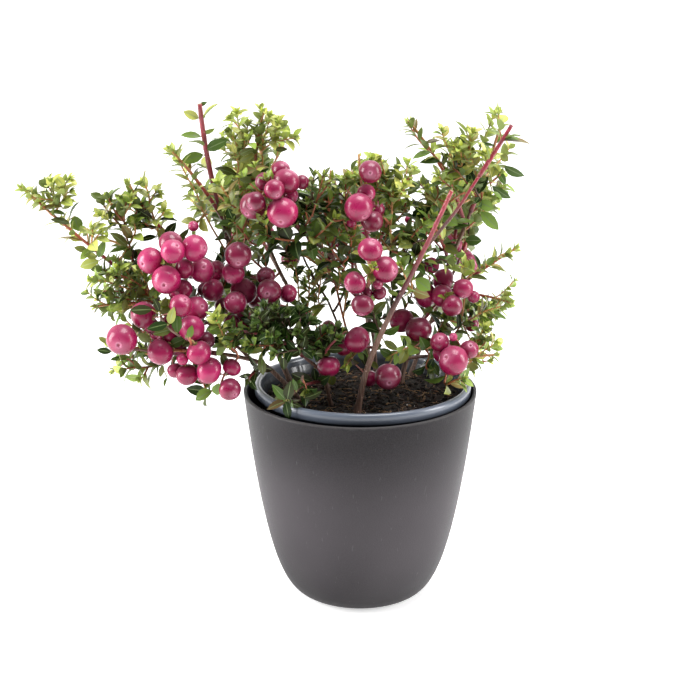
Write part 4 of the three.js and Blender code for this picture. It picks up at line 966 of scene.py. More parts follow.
def placed_berries(masses):
    """Every berry: those of the bunches that show, and those settled round the other stems."""
    berries = []
    for row in masses:
        berries += settled_berries(row)
    roll = dice(4321)
    for ripeness, bunch in BUNCHES.values():
        for x, y, z, radius in bunch:
            ripe = ripeness + 0.3 * (roll() - 0.5)
            berries.append(dict(centre=Vector((x, y, z)), radius=BERRY_SWELL * radius, ripe=ripe))
    return berries


def hang_berries(berries, shoots):
    """The foot of each berry's stalk, on the nearest shoot, and its axis, its blossom end turned away."""
    roll = dice(977)
    wood = [point for grown in shoots if grown["order"] < 2 for point in grown["path"].points[1:15]]
    wood_points = np.array(wood)
    for berry in berries:
        reach = np.linalg.norm(wood_points - np.array(berry["centre"] + UP * 3), axis=1)
        reach[reach < berry["radius"] + 1.5] += 9
        berry["foot"] = wood[int(reach.argmin())]
        back = (berry["foot"] - berry["centre"]).normalized()
        wander = Vector((roll() - 0.5, roll() - 0.5, roll() - 0.5))
        berry["axis"] = (wander * 1.1 - back + Vector((0, -0.1, -0.12))).normalized()


class Skin:
    """Points and faces gathered for one piece. A layer is a number kept for every point."""

    def __init__(self):
        self.points, self.faces, self.finishes, self.layers, self.count = [], [], [], {}, 0

    def add(self, points, faces, finish=0, **layers):
        """Faces may be one array, or a list of arrays whose faces have other numbers of corners."""
        points = np.array(points, float).reshape(-1, 3)
        for group in faces if isinstance(faces, list) else [faces]:
            self.faces.append(np.array(group, int) + self.count)
            self.finishes.append(np.broadcast_to(finish, len(group)))
        for name, values in layers.items():
            self.layers.setdefault(name, []).append(np.broadcast_to(values, len(points)))
        self.points.append(points)
        self.count += len(points)


def piece(name, skin, finishes, nodes=()):
    """A mesh object of the root body from a skin, which stands for the nodes named."""
    mesh = bpy.data.meshes.new(name)
    corners = np.concatenate([faces.ravel() for faces in skin.faces])
    sizes = np.concatenate([np.full(len(faces), faces.shape[1]) for faces in skin.faces])
    mesh.vertices.add(skin.count)
    mesh.vertices.foreach_set("co", (np.concatenate(skin.points) / 1000).ravel())
    mesh.loops.add(len(corners))
    mesh.loops.foreach_set("vertex_index", corners)
    mesh.polygons.add(len(sizes))
    mesh.polygons.foreach_set("loop_start", np.cumsum(sizes) - sizes)
    mesh.polygons.foreach_set("material_index", np.concatenate(skin.finishes))
    mesh.polygons.foreach_set("use_smooth", np.ones(len(sizes), bool))
    for layer, values in skin.layers.items():
        mesh.attributes.new(layer, "FLOAT", "POINT").data.foreach_set("value", np.concatenate(values))
    mesh.update(calc_edges=True)
    mesh.validate()
    for finish in finishes:
        mesh.materials.append(finish.material)
    made = bpy.data.objects.new(name, mesh)
    bpy.context.scene.collection.objects.link(made)
    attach(made, "root")
    if nodes:
        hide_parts(*nodes)


def grid_faces(rows, columns):
    """Quads between rings of points."""
    ring, column = np.meshgrid(np.arange(rows - 1), np.arange(columns), indexing="ij")
    beside = (column + 1) % columns
    low, high = ring * columns, (ring + 1) * columns
    return np.stack([low + column, low + beside, high + beside, high + column], -1).reshape(-1, 4)


def rings_along(points, radii, sides):
    """Rings of points round a line. Radii are one number in all, one a ring or one a point."""
    points = np.array(points, float)
    ahead = np.gradient(points, axis=0)
    ahead /= np.linalg.norm(ahead, axis=1)[:, None]
    side = np.cross(ahead[0], (0.3, 0.9, 0.2))
    rings = []
    radii = np.array(radii, float)
    radii = np.broadcast_to(radii.reshape(len(points), -1) if radii.ndim else radii, (len(points), sides))
    turns = np.arange(sides) * 2 * math.pi / sides
    for point, way, radius in zip(points, ahead, radii):
        side = side - way * side.dot(way)
        side /= np.linalg.norm(side)
        over = np.cross(way, side)
        spokes = np.cos(turns)[:, None] * side + np.sin(turns)[:, None] * over
        rings.append(point + radius[:, None] * spokes)
    return np.array(rings)


def cap(first, centre, sides, outward):
    """A fan over one end of a tube whose ring starts at first."""
    side = np.arange(sides)
    near, far = first + side, first + (side + 1) % sides
    ends = (near, far) if outward else (far, near)
    return np.stack([np.full(sides, centre), *ends], -1)


def add_tube(skin, points, radii, sides, finish=0, cut=None, **layers):
    """A closed tube along points, whose tip has the finish cut if one is given."""
    rings = rings_along(points, radii, sides)
    steps = len(rings)
    ends = [rings[0].mean(0), rings[-1].mean(0)]
    corners = np.concatenate([rings.reshape(-1, 3), ends])
    spread = {}
    for name, values in layers.items():
        values = np.broadcast_to(values, steps)
        spread[name] = np.concatenate([np.repeat(values, sides), values[[0, -1]]])
    base = cap(0, steps * sides, sides, False)
    tip = cap((steps - 1) * sides, steps * sides + 1, sides, True)
    faces = np.concatenate([base, tip])
    marks = np.repeat([finish, finish if cut is None else cut], sides)
    skin.add(corners, grid_faces(steps, sides), finish, **spread)
    skin.faces.append(faces + skin.count - len(corners))
    skin.finishes.append(marks)


def turned(profile, sides, ripple=None):
    """Points of a profile of (radius, height) pairs turned round the upright axis, with its faces."""
    turns = np.arange(sides) * 2 * math.pi / sides
    profile = np.array(profile, float)
    radius = np.repeat(profile[:, :1], sides, 1)
    if ripple:
        radius = radius + ripple(profile[:, 1:], turns)
    heights = np.repeat(profile[:, 1:], sides, 1)
    points = np.stack([radius * np.cos(turns), radius * np.sin(turns), heights], -1)
    return points.reshape(-1, 3), grid_faces(len(profile), sides)


class Wire:
    """A node's output, which can take part in sums."""

    def __init__(self, finish, socket):
        self.finish, self.socket = finish, socket

    def sum(self, operation, first, second):
        return self.finish.node("Math", {"operation": operation}, {0: first, 1: second})

    def __add__(self, other):
        return self.sum("ADD", self, other)

    def __radd__(self, other):
        return self.sum("ADD", other, self)

    def __sub__(self, other):
        return self.sum("SUBTRACT", self, other)

    def __rsub__(self, other):
        return self.sum("SUBTRACT", other, self)

    def __mul__(self, other):
        return self.sum("MULTIPLY", self, other)

    def __rmul__(self, other):
        return self.sum("MULTIPLY", other, self)


class Finish:
    """A material round one surface shader, whose own sockets are set by name."""

    def __init__(self, name, colour, roughness, **sockets):
        self.material = bpy.data.materials.new(name)
        self.material.use_nodes = True
        self.tree = self.material.node_tree
        self.shader = self.tree.nodes["Principled BSDF"]
        self.set(Base_Color=(*colour, 1), Roughness=roughness, **sockets)
        self.material.diffuse_color = (*colour, 1)

    def set(self, **sockets):
        for name, value in sockets.items():
            self.feed(self.shader.inputs[name.replace("_", " ")], value)

    def feed(self, socket, value):
        """A link or a value into a socket."""
        if isinstance(value, Wire):
            self.tree.links.new(value.socket, socket)
        else:
            socket.default_value = value

    def node(self, kind, settings=None, sockets=None, out=0):
        """One output of a new node: its kind, its settings, then the values or links of its sockets."""
        made = self.tree.nodes.new("ShaderNode" + kind)
        for name, value in (settings or {}).items():
            if name == "stops":
                for i, (place, colour) in enumerate(value):
                    stop = made.color_ramp.elements[i] if i < 2 else made.color_ramp.elements.new(place)
                    stop.position, stop.color = place, (*colour, 1)
            else:
                setattr(made, name, value)
        for name, value in (sockets or {}).items():
            self.feed(made.inputs[name], value)
        return Wire(self, made.outputs[out])

    def place(self):
        """Where a point of the piece is, in metres."""
        return self.node("TexCoord", out="Object")

    def height(self):
        return self.node("SeparateXYZ", sockets={0: self.place()}, out="Z")

    def stretched(self, scale):
        """The place times a scale along each axis, which draws a grain out into streaks."""
        return self.node("VectorMath", {"operation": "MULTIPLY"}, {0: self.place(), 1: scale})

    def grain(self, scale, detail, place=None):
        """Cloudy noise from 0 to 1."""
        sockets = {"Vector": place or self.place(), "Scale": scale, "Detail": detail}
        return self.node("TexNoise", None, sockets)

    def between(self, value, low, high):
        """0 up to low and 1 from high on."""
        return self.node("MapRange", {"interpolation_type": "SMOOTHSTEP"}, {0: value, 1: low, 2: high})

    def coated(self, base, *coats):
        """A colour under thin coats, each given as how much of it shows and its colour."""
        base = base if isinstance(base, Wire) else (*base, 1)
        for share, colour in coats:
            base = self.node("Mix", {"data_type": "RGBA"}, {0: share, 6: base, 7: (*colour, 1)}, out=2)
        return base

    def layer(self, name):
        """A number that the mesh keeps for every point."""
        return self.node("Attribute", {"attribute_name": name}, out="Fac")

    def bump(self, height, depth):
        """A bump as deep as given in millimetres."""
        return self.node("Bump", None, {"Strength": 1.0, "Distance": depth / 1000, "Height": height})


def planter_finish():
    """Matt near-black plastic with fine scratches and a worn lip, dusty and lighter halfway up so that top
    and foot stay dark as painted shade.
    """
    made = Finish("matte_planter_plastic", (0.030, 0.027, 0.029), 0.5, Specular_IOR_Level=0.17)
    speckle, cloud = made.grain(1500, 2), made.grain(14, 2)
    scratch = made.between(made.grain(1, 2, made.stretched((900, 900, 60))), 0.69, 0.74)
    worn = made.between(made.height() + (made.grain(260, 3) - 0.5) * 0.0016, 0.1185, 0.1196)
    # Dust and painted shade: a lighter band halfway up, so that the top under the foliage and the foot stay
    # darker
    rise = made.height() + (cloud - 0.5) * 0.04
    dust = made.between(rise, 0.112, 0.06) * made.between(rise, 0.0, 0.05)
    base = made.coated(
        (0.0100, 0.0083, 0.0098),
        (made.between(speckle, 0.35, 0.65), (0.0175, 0.0150, 0.0172)),
        (made.between(cloud, 0.3, 0.7) * 0.3, (0.044, 0.040, 0.042)),
        # the dusty band, which leaves the top and foot darker as painted shade
        (dust * 0.56, (0.078, 0.069, 0.076)),
        (scratch * 0.14, (0.16, 0.155, 0.16)),
        (worn * 0.22, (0.16, 0.155, 0.155)))
    made.set(Base_Color=base, Roughness=made.between(speckle, 0.2, 0.8) * 0.12 + 0.42,
             Normal=made.bump(speckle, 0.05))
    return made


def nursery_finish():
    """Shiny black plastic with a little dust, and a pale band round the lip, partly scuffs and partly a
    painted sheen.
    """
    made = Finish("nursery_pot_plastic", (0.020, 0.026, 0.034), 0.3, Coat_Weight=0.5, Coat_Roughness=0.15)
    dust = made.between(made.grain(90, 4), 0.5, 0.75)
    base = made.coated(
        (0.018, 0.023, 0.032),
        (dust * 0.5, (0.060, 0.069, 0.084)),
        # Painted highlight and scuffs: a pale bluish band round the lip stands in for the lamps' sheen on it
        (made.between(made.height(), 0.1175, 0.1205) * 0.75, (0.120, 0.142, 0.185)))
    made.set(Base_Color=base, Roughness=dust * 0.15 + 0.34, Normal=made.bump(made.grain(220, 2), 0.08))
    return made


def soil_finish():
    """Dark moist peat with a few pale bits."""
    made = Finish("peat", (0.030, 0.017, 0.010), 0.95)
    clods = made.grain(260, 4)
    base = made.coated(
        (0.005, 0.003, 0.002),
        (made.between(clods, 0.35, 0.65), (0.021, 0.012, 0.008)),
        (made.between(made.grain(700, 2), 0.66, 0.74) * 0.6, (0.13, 0.075, 0.042)))
    made.set(Base_Color=base, Normal=made.bump(clods, 1.0))
    return made


def bark_finish():
    """Grey-brown at the root, through dark red to the young wood's orange, with streaks and pale marks."""
    made = Finish("stem_bark", (0.17, 0.08, 0.06), 0.5)
    age = made.layer("age") + (made.grain(60, 2) - 0.5) * 0.16
    wood = made.node("ValToRGB", {"stops": [
        (0.0, (0.085, 0.043, 0.028)), (1.0, (0.42, 0.22, 0.07)), (0.26, (0.15, 0.07, 0.045)),
        (0.40, (0.085, 0.032, 0.034)), (0.52, (0.20, 0.032, 0.038)), (0.68, (0.32, 0.024, 0.048)),
        (0.85, (0.40, 0.095, 0.045))]}, {0: age})
    streaks = made.between(made.grain(1, 3, made.stretched((1300, 1300, 110))), 0.45, 0.7)
    reddest = made.between(age, 0.4, 0.5) * made.between(age, 0.76, 0.66)
    scorch = made.between(made.grain(45, 2), 0.56, 0.62) * reddest
    marks = made.between(made.grain(650, 2), 0.66, 0.72)
    base = made.coated(
        wood,
        (streaks * (0.75 - made.between(age, 0.2, 0.5) * 0.63), (0.23, 0.15, 0.11)),
        (scorch * 0.7, (0.09, 0.022, 0.025)),
        (marks * 0.6, (0.55, 0.36, 0.26)))
    made.set(Base_Color=base, Roughness=0.58 - made.between(age, 0.3, 0.65) * 0.28,
             Normal=made.bump(streaks, 0.12))
    return made


def berry_finish():
    """Deep crimson to pale pink skins, paler on top as a painted highlight and darker beneath as painted
    shade, with a pale ring round the dark blossom end.
    """
    made = Finish("berry_skin", (0.45, 0.05, 0.16), 0.3, Specular_IOR_Level=0.4, Coat_Weight=0.15,
                  Coat_Roughness=0.14)
    ripe = made.layer("ripe") + (made.grain(110, 2) - 0.5) * 0.35
    flush = made.node("ValToRGB", {"stops": [
        (0.0, (0.066, 0.001, 0.010)), (1.0, (0.66, 0.12, 0.27)), (0.3, (0.17, 0.003, 0.032)),
        (0.55, (0.34, 0.008, 0.078)), (0.8, (0.51, 0.030, 0.145))]}, {0: ripe})
    # How much the skin faces up, which paints light on top and shade beneath
    lit = made.node("SeparateXYZ", sockets={0: made.node("NewGeometry", out="Normal")}, out="Z")
    pole = made.layer("pole")
    ring = made.between(pole, 0.03, 0.055) * made.between(pole, 0.10, 0.07)
    base = made.coated(
        flush,
        # painted highlight: paler where the skin faces up
        (made.between(lit, 0.2, 1.0) * 0.12, (0.80, 0.36, 0.52)),
        # painted shade: darker where the skin faces down
        (made.between(lit, 0.1, -0.8) * 0.5, (0.11, 0.005, 0.02)),
        (made.between(pole, 0.26, 0.06) * 0.22, (0.80, 0.30, 0.45)),
        (ring * 0.3, (0.80, 0.36, 0.50)),
        (made.between(pole, 0.03, 0.012) * 0.7, (0.34, 0.07, 0.08)),
        (made.between(pole, 0.9, 0.97) * 0.8, (0.50, 0.30, 0.16)))
    made.set(Base_Color=base, Roughness=made.between(made.grain(300, 3), 0.3, 0.7) * 0.1 + 0.26)
    return made


def planter_radius(height):
    """The planter's outside, which swells from its foot and stands almost upright at its rim."""
    return FOOT_RADIUS + (RIM_RADIUS - FOOT_RADIUS) * (height / PLANTER_HEIGHT) ** PLANTER_SWELL


def make_planter():
    """The planter's shell, open at the top, with a rounded lip."""
    steps, edge = 40, PLANTER_WALL / 2
    outside, inside = [], []
    for i in range(steps + 1):
        share = (i / steps) ** 2.2
        height = share * (PLANTER_HEIGHT - edge)
        outside.append((planter_radius(height), height))
        height = PLANTER_FLOOR + share * (PLANTER_HEIGHT - edge - PLANTER_FLOOR)
        inside.append((planter_radius(height) - PLANTER_WALL, height))
    lip = []
    middle = RIM_RADIUS - edge
    for i in range(1, 8):
        angle = math.pi * i / 8
        lip.append((middle + edge * math.cos(angle), PLANTER_HEIGHT - edge + edge * math.sin(angle)))
    profile = [(0.01, 0), (FOOT_RADIUS - 1.5, 0), *outside, *lip, *reversed(inside), (0.01, PLANTER_FLOOR)]
    skin = Skin()
    skin.add(*turned(profile, 160))
    piece("planter_shell", skin, [planter_finish()], ["planter"])


def potted(points):
    """Points in the nursery pot's own standing, moved to where it leans in the planter."""
    lean = Matrix.Rotation(-NURSERY_TILT, 3, "X")
    return np.array(points) @ np.array(lean).T + (*NURSERY_SHIFT, NURSERY_LIFT)


def make_nursery_pot():
    """The nursery pot's shell, with a rolled lip and grooves under it, as it leans in the planter."""
    neck = NURSERY_HEIGHT - NURSERY_LIP_HEIGHT
    foot, wall = NURSERY_FOOT_RADIUS, NURSERY_WALL
    profile = [(0.01, 0), (foot - 3, 0), (foot - 0.8, 0.3), (foot, 1.4), (NURSERY_NECK_RADIUS, neck),
               (NURSERY_LIP_RADIUS - 0.5, neck + 0.3), (NURSERY_LIP_RADIUS, neck + 1.0)]
    centre = (NURSERY_LIP_RADIUS + NURSERY_LIP_INSIDE) / 2
    half = (NURSERY_LIP_RADIUS - NURSERY_LIP_INSIDE) / 2
    for i in range(9):
        angle = math.pi * i / 8
        profile.append((centre + half * math.cos(angle), NURSERY_HEIGHT - half + half * math.sin(angle)))
    profile += [(NURSERY_LIP_INSIDE, neck + 2.4), (NURSERY_LIP_INSIDE - 0.2, neck + 1.6),
                (NURSERY_NECK_RADIUS - wall - 0.5, neck), (NURSERY_NECK_RADIUS - wall - 1.0, neck - 2),
                (foot - wall, wall), (0.01, wall)]

    def ribs(heights, turns):
        """Fine upright grooves under the lip, inside and out."""
        inner = np.zeros(len(heights))
        inner[-6:-2] = 1
        inner[4] = 0.6
        return -GROOVE_DEPTH * inner[:, None] * np.abs(np.cos(GROOVES / 2 * turns)) ** 12

    points, faces = turned(profile, 288, ribs)
    skin = Skin()
    skin.add(potted(points), faces)
    piece("nursery_pot_shell", skin, [nursery_finish()], ["nursery_pot"])


def soil_surface(x, y):
    """How far the peat stands above its level at a place in the pot."""
    away = math.hypot(x, y) / 54
    heap = 1.6 * noise.noise(Vector((x, y, 3)) / 19) + 1.1 * noise.noise(Vector((x, y, 9)) / 6)
    return heap + 0.5 * noise.noise(Vector((x, y, 21)) / 2.2) - 1.2 * away ** 6


# A lump of twenty faces, about one across, that each crumb is made from.
LUMP = np.array([
    (-1, 1.618, 0), (1, 1.618, 0), (-1, -1.618, 0), (1, -1.618, 0), (0, -1, 1.618), (0, 1, 1.618),
    (0, -1, -1.618), (0, 1, -1.618), (1.618, 0, -1), (1.618, 0, 1), (-1.618, 0, -1), (-1.618, 0, 1)]) / 1.9
LUMP_FACES = np.array([
    (0, 11, 5), (0, 5, 1), (0, 1, 7), (0, 7, 10), (0, 10, 11), (1, 5, 9), (5, 11, 4), (11, 10, 2), (10, 7, 6),
    (7, 1, 8), (3, 9, 4), (3, 4, 2), (3, 2, 6), (3, 6, 8), (3, 8, 9), (4, 9, 5), (2, 4, 11), (6, 2, 10),
    (8, 6, 7), (9, 8, 1)])


def make_soil():
    """The peat bed, with crumbs and chips strewn on it and a few fibres."""
    edge = NURSERY_NECK_RADIUS - NURSERY_WALL - 1.6
    steps, sides = 48, 120
    points = []
    for i in range(steps + 1):
        for j in range(sides):
            reach, turn = edge * (i / steps) ** 0.75, 2 * math.pi * j / sides
            x, y = reach * math.cos(turn), reach * math.sin(turn)
            points.append((x, y, SOIL_TOP + soil_surface(x, y)))
    skirt = [(x * 0.95, y * 0.95, SOIL_TOP - 25) for x, y, _ in points[-sides:]]
    skin = Skin()
    skin.add(potted(points + skirt), np.flip(grid_faces(steps + 2, sides), 1))
    rng = np.random.default_rng(7)
    for _ in range(CRUMBS):
        reach, turn = (edge - 1.5) * math.sqrt(rng.random()), 2 * math.pi * rng.random()
        x, y = reach * math.cos(turn), reach * math.sin(turn)
        kind = int(rng.choice([0, 1, 2, 3, 4], p=[0.4, 0.3, 0.2, 0.088, 0.012]))
        size = (0.9, 1.0, 0.8, 0.9, 0.75)[kind] * (0.5 + 1.1 * rng.random() ** 2)
        stretch = (1, 1, 1) if kind in (0, 4) else (1.9, 0.7, 0.45)
        spin = Matrix.Rotation(FULL_TURN * rng.random(), 3, "Z")
        turned_by = np.array(spin @ Matrix.Rotation(rng.normal(0, 0.5), 3, "X"))
        lump = (LUMP * (1 + rng.normal(0, 0.16, LUMP.shape))) * size * stretch @ turned_by.T
        height = SOIL_TOP + soil_surface(x, y) + 0.25 * size
        skin.add(potted(lump + (x, y, height)), LUMP_FACES, kind)
    for _ in range(FIBRES):
        reach, turn = (edge - 8) * math.sqrt(rng.random()), 2 * math.pi * rng.random()
        way = FULL_TURN * rng.random()
        length = 3 + 9 * rng.random() ** 2
        line = []
        for step in np.linspace(-0.5, 0.5, 6):
            bend = way + step * rng.normal(0, 0.9)
            x = reach * math.cos(turn) + step * length * math.cos(bend)
            y = reach * math.sin(turn) + step * length * math.sin(bend)
            line.append((x, y, SOIL_TOP + soil_surface(x, y) + 0.5 + 0.5 * rng.random()))
        add_tube(skin, potted(line), 0.12 + 0.22 * rng.random(), 4, 3 if rng.random() < 0.4 else 2)
    finishes = [soil_finish(), Finish("dark_peat_crumbs", (0.010, 0.006, 0.004), 0.95),
                Finish("brown_bark_chips", (0.042, 0.020, 0.011), 0.85),
                Finish("straw_chips", (0.21, 0.125, 0.062), 0.85), Finish("perlite", (0.62, 0.60, 0.55), 0.8)]
    piece("peat_bed", skin, finishes, ["soil"])


def bark_line(path, radius_at, steps, sides, seed):
    """A stem's points and its radii round each ring, with ridges and the scars of fallen leaves."""
    points = [path.at(step / steps) for step in range(steps + 1)]
    radii = []
    for step in range(steps + 1):
        radius = radius_at(step / steps)
        run = path.length * step / steps
        ring = []
        for j in range(sides):
            turn = 2 * math.pi * j / sides
            round_it = Vector((math.cos(turn) * 1.7, math.sin(turn) * 1.7, run / 9 + seed))
            swell = 0.07 * noise.noise(round_it) + 0.035 * noise.noise(Vector((turn * 4, run / 14, seed)))
            knuckle = math.exp(-((run % SCAR_GAP - SCAR_PLACE) / SCAR_WIDTH) ** 2)
            towards = max(0, math.cos(turn - GOLDEN_TURN * (run // SCAR_GAP)))
            ring.append(radius * (1 + swell) + SCAR_HEIGHT * knuckle * towards ** 3)
        radii.append(ring)
    return points, radii


def make_stems(limbs, shoots, masses):
    """The limbs and the stems of the masses, all with bark."""
    skin = Skin()
    sides = 16
    for number, (name, limb) in enumerate(limbs.items()):
        steps = round(limb["path"].length / 1.3)
        points, radii = bark_line(limb["path"], lambda share: LIMB_THINNING * limb_radius(limb, share), steps,
                                  sides, number * 7.1)
        if "on" not in limb:
            points[0] = points[0] - UP * ROOT_BURIED
        shares = np.linspace(0, 1, steps + 1)
        first, last = (0.3 if "on" in limb else 0.02), LIMB_TIP_AGES.get(name, 0.36)
        add_tube(skin, points, radii, sides, 0, 1, age=first + (last - first) * shares ** 1.3)
    sides = 10
    for grown in shoots:
        if grown["order"]:
            continue
        steps = round(grown["path"].length / 2.2)
        base, end = grown["base"], grown["end"]
        points, radii = bark_line(grown["path"], lambda share: base + (end - base) * share, steps, sides,
                                  grown["mass"] * 3.7)
        shares = np.linspace(0, 1, steps + 1)
        bare = masses[grown["mass"]]["bare"]
        first, last = (0.56, 0.7) if bare else (0.42, 1.0 if grown["tone"] > 0.3 else 0.58)
        add_tube(skin, points, radii, sides, 0, int(bare), age=first + (last - first) * shares ** 0.6)
    cut = Finish("cut_wood", (0.40, 0.24, 0.15), 0.7)
    piece("stems", skin, [bark_finish(), cut], list(limbs))


def make_twigs(shoots, stalks):
    """The twigs and sprigs, brown in the shade, then red, orange and green, and the single leaves' stalks."""
    finishes = [Finish("red_twig", (0.38, 0.115, 0.055), 0.42),
                Finish("orange_twig", (0.58, 0.28, 0.11), 0.42),
                Finish("green_twig", (0.30, 0.28, 0.08), 0.45),
                Finish("brown_twig", (0.10, 0.05, 0.03), 0.55)]
    skin = Skin()
    for number, grown in enumerate(shoots):
        if not grown["order"]:
            continue
        roll = dice(number + 3)
        young = grown["tone"] + 0.3 * (roll() - 0.5)
        finish = 3 if young < 0.2 else 0 if young < 0.46 else 1 if young < 0.82 else 2
        steps = 7 if grown["order"] == 1 else 5
        points = [grown["path"].at(i / steps) for i in range(steps + 1)]
        radii = np.linspace(grown["base"], grown["end"], steps + 1)
        add_tube(skin, points, radii, 6, finish)
    for foot, root in stalks:
        add_tube(skin, [foot.lerp(root, step / 3) for step in range(4)], LEAF_STALK_RADIUS, 5, 2)
    piece("twigs", skin, finishes)


def leaf_pattern(stations, ribbed):
    """The points of a leaf as (share along, across, side, edge) and its faces with their finishes: 0 blade,
    1 back and 2 rib. Side is 0 on the upper face and 1 under it, and edge is 1 at the margin. A face at the
    tip repeats a corner."""
    points, faces, marks = [], [], []
    for side, columns in ((0, [-1, -0.09, 0.09, 1] if ribbed else [-1, 0, 1]), (1, [-1, 0, 1])):
        first = len(points)
        for share, width in stations[:-1]:
            points += [(share, column * width, side, abs(column)) for column in columns]
        points.append((stations[-1][0], 0, side, 0))
        wide = len(columns)
        for i in range(len(stations) - 1):
            for j in range(wide - 1):
                a, b = first + i * wide + j, first + i * wide + j + 1
                if i < len(stations) - 2:
                    face = [a, a + wide, b + wide, b]
                else:
                    face = [a, first + (i + 1) * wide, b, b]
                faces.append(face if side == 0 else face[::-1])
                marks.append(1 if side else 2 if ribbed and j == 1 else 0)
    return np.array(points, float), np.array(faces), np.array(marks)


OLD_LEAF = leaf_pattern([(0, 0.10), (0.10, 0.52), (0.30, 0.94), (0.52, 1.0), (0.76, 0.72), (0.92, 0.27),
                         (1, 0)], True)
TIP_LEAF = leaf_pattern([(0, 0.25), (0.32, 0.95), (0.68, 0.75), (1, 0)], False)


def shaped_leaves(leaves, pattern):
    """The points of many leaves at once, an array of leaves by points."""
    shares, across, side, edge = pattern[0].T
    root, heading, normal, length, slim, fold, curl = (
        np.array([leaf[key] for leaf in leaves])
        for key in ("root", "heading", "normal", "length", "slim", "fold", "curl"))
    length, slim, fold, curl = length[:, None], slim[:, None], fold[:, None], curl[:, None]
    beside = np.cross(normal, heading)
    half = 0.5 * slim * length
    rise = fold * half * edge * np.abs(across) - curl * length * shares ** 2
    rise = rise + 0.05 * length * np.sin(math.pi * shares)
    rise = rise - side * (1 - edge) * 0.022 * length
    return (root[:, None] + heading[:, None] * (length * shares)[..., None]
            + beside[:, None] * (half * across)[..., None] + normal[:, None] * rise[..., None])


def add_leaves(skin, leaves, pattern, finishes_of):
    """Leaves joined in one skin. finishes_of turns a leaf into the finishes of its blade, back and rib."""
    points = shaped_leaves(leaves, pattern)
    faces = pattern[1] + np.arange(len(leaves))[:, None, None] * points.shape[1]
    kinds = np.array([finishes_of(leaf) for leaf in leaves])
    marks = kinds[:, pattern[2]]
    faces, marks = faces.reshape(-1, 4), marks.ravel()
    pointed = faces[:, 2] == faces[:, 3]
    flipped = faces[:, 0] == faces[:, 1]
    skin.add(points, np.zeros((0, 4), int))
    skin.faces[-1:] = [faces[~pointed & ~flipped], faces[pointed][:, :3], faces[flipped][:, 1:]]
    skin.finishes[-1:] = [marks[~pointed & ~flipped], marks[pointed], marks[flipped]]


def depth_outward(place):
    """0 in the middle of the crown, and 1 at the outline of its foliage."""
    return math.hypot(*((there - middle) / reach
                        for there, middle, reach in zip(place, CROWN_MIDDLE, CROWN_REACH)))


def kept_leaves(shoots, masses, room):
    """The leaves of every shoot that keep to their room."""
    leaves, kept = [], []
    for number, grown in enumerate(shoots):
        leaves += shoot_leaves(grown, dice(number + 9001))
    for index in range(-1, len(masses)):
        own = [leaf for leaf in leaves if leaf["mass"] == index]
        if not own:
            continue
        middles = [leaf["root"] + leaf["heading"] * leaf["length"] * 0.6 for leaf in own]
        tips = [leaf["root"] + leaf["heading"] * leaf["length"] for leaf in own]
        if index < 0:
            fine = room.clear(middles) & room.clear(tips)
        else:
            fine = room.free(middles, index, LEAF_MARGIN) & room.free(tips, index, LEAF_TIP_MARGIN)
        kept += [leaf for leaf, fits in zip(own, fine) if fits]
    return kept


def make_leaves(leaves, masses):
    """Every leaf, each in a hue and tone of its own: the dark ones, the light ones and those of the tufts,
    with the leaves deep in the crown darkened as painted shade. A hue is the place of its row in BLADE_TONES."""
    roll = dice(31)
    for leaf in leaves:
        chance = roll()
        leaf["hue"] = 0 if chance < 0.55 else 1 if chance < 0.92 else 2
        freshness = -0.05 if leaf["single"] else 0.12 * min(1, max(leaf["tone"], 0) / 0.25)
        # Painted shade: leaves deep inside the crown are made darker
        leaf["tone"] += freshness - 0.24 * max(0, 1 - depth_outward(leaf["root"]))
    old = [leaf for leaf in leaves if not leaf["young"]]
    tips = [leaf for leaf in leaves if leaf["young"]]
    blades = [Finish(f"{hue}_blade_{i}", tone, 0.34, Specular_IOR_Level=0.2 + 0.06 * i)
              for hue, tones in BLADE_TONES.items() for i, tone in enumerate(tones)]
    backs = [Finish(f"leaf_back_{i}", tone, 0.5) for i, tone in enumerate(BACK_TONES)]
    ribs = [Finish(f"rib_{i}", tone, 0.45) for i, tone in enumerate(RIB_TONES)]
    tip_blades = [Finish(f"tip_{i}", tone, 0.4) for i, tone in enumerate(TIP_TONES)]
    plain = [row["name"] for row in masses if not row["fruiting"] and row["name"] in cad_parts]

    def band(leaf, count):
        """Which of so many tones a leaf has."""
        return int(min(max(leaf["tone"], 0), 0.999) * count)

    def old_finishes(leaf):
        blade = band(leaf, 6) + 6 * leaf["hue"]
        return blade, len(blades) + band(leaf, 3), len(blades) + len(backs) + band(leaf, 2)

    def tip_finishes(leaf):
        return band(leaf, 5), len(tip_blades) + (leaf["tone"] > 0.6), 0

    dark = [leaf for leaf in old if leaf["tone"] < LIT_TONE]
    light = [leaf for leaf in old if leaf["tone"] >= LIT_TONE]
    for name, own, nodes in (("dark_leaves", dark, plain[::2]), ("light_leaves", light, plain[1::2])):
        skin = Skin()
        add_leaves(skin, own, OLD_LEAF, old_finishes)
        piece(name, skin, blades + backs + ribs, nodes)
    skin = Skin()
    add_leaves(skin, tips, TIP_LEAF, tip_finishes)
    piece("tip_leaves", skin, tip_blades + backs[1:])


# A berry's outline as (radius, height), from the dimple at its blossom end to the foot of its stalk.
BERRY_OUTLINE = [
    (0.0, 0.80), (0.05, 0.80), (0.09, 0.83), (0.13, 0.875), (0.18, 0.89), (0.25, 0.885), (0.39, 0.85),
    (0.55, 0.775), (0.71, 0.65), (0.85, 0.47), (0.955, 0.24), (1.0, 0.0), (0.97, -0.24), (0.88, -0.45),
    (0.74, -0.63), (0.56, -0.75), (0.36, -0.82), (0.18, -0.845), (0.07, -0.83), (0.0, -0.82)]


def turned_to(axis):
    """A rotation that carries the upright axis to another."""
    return np.array(UP.rotation_difference(axis).to_matrix())


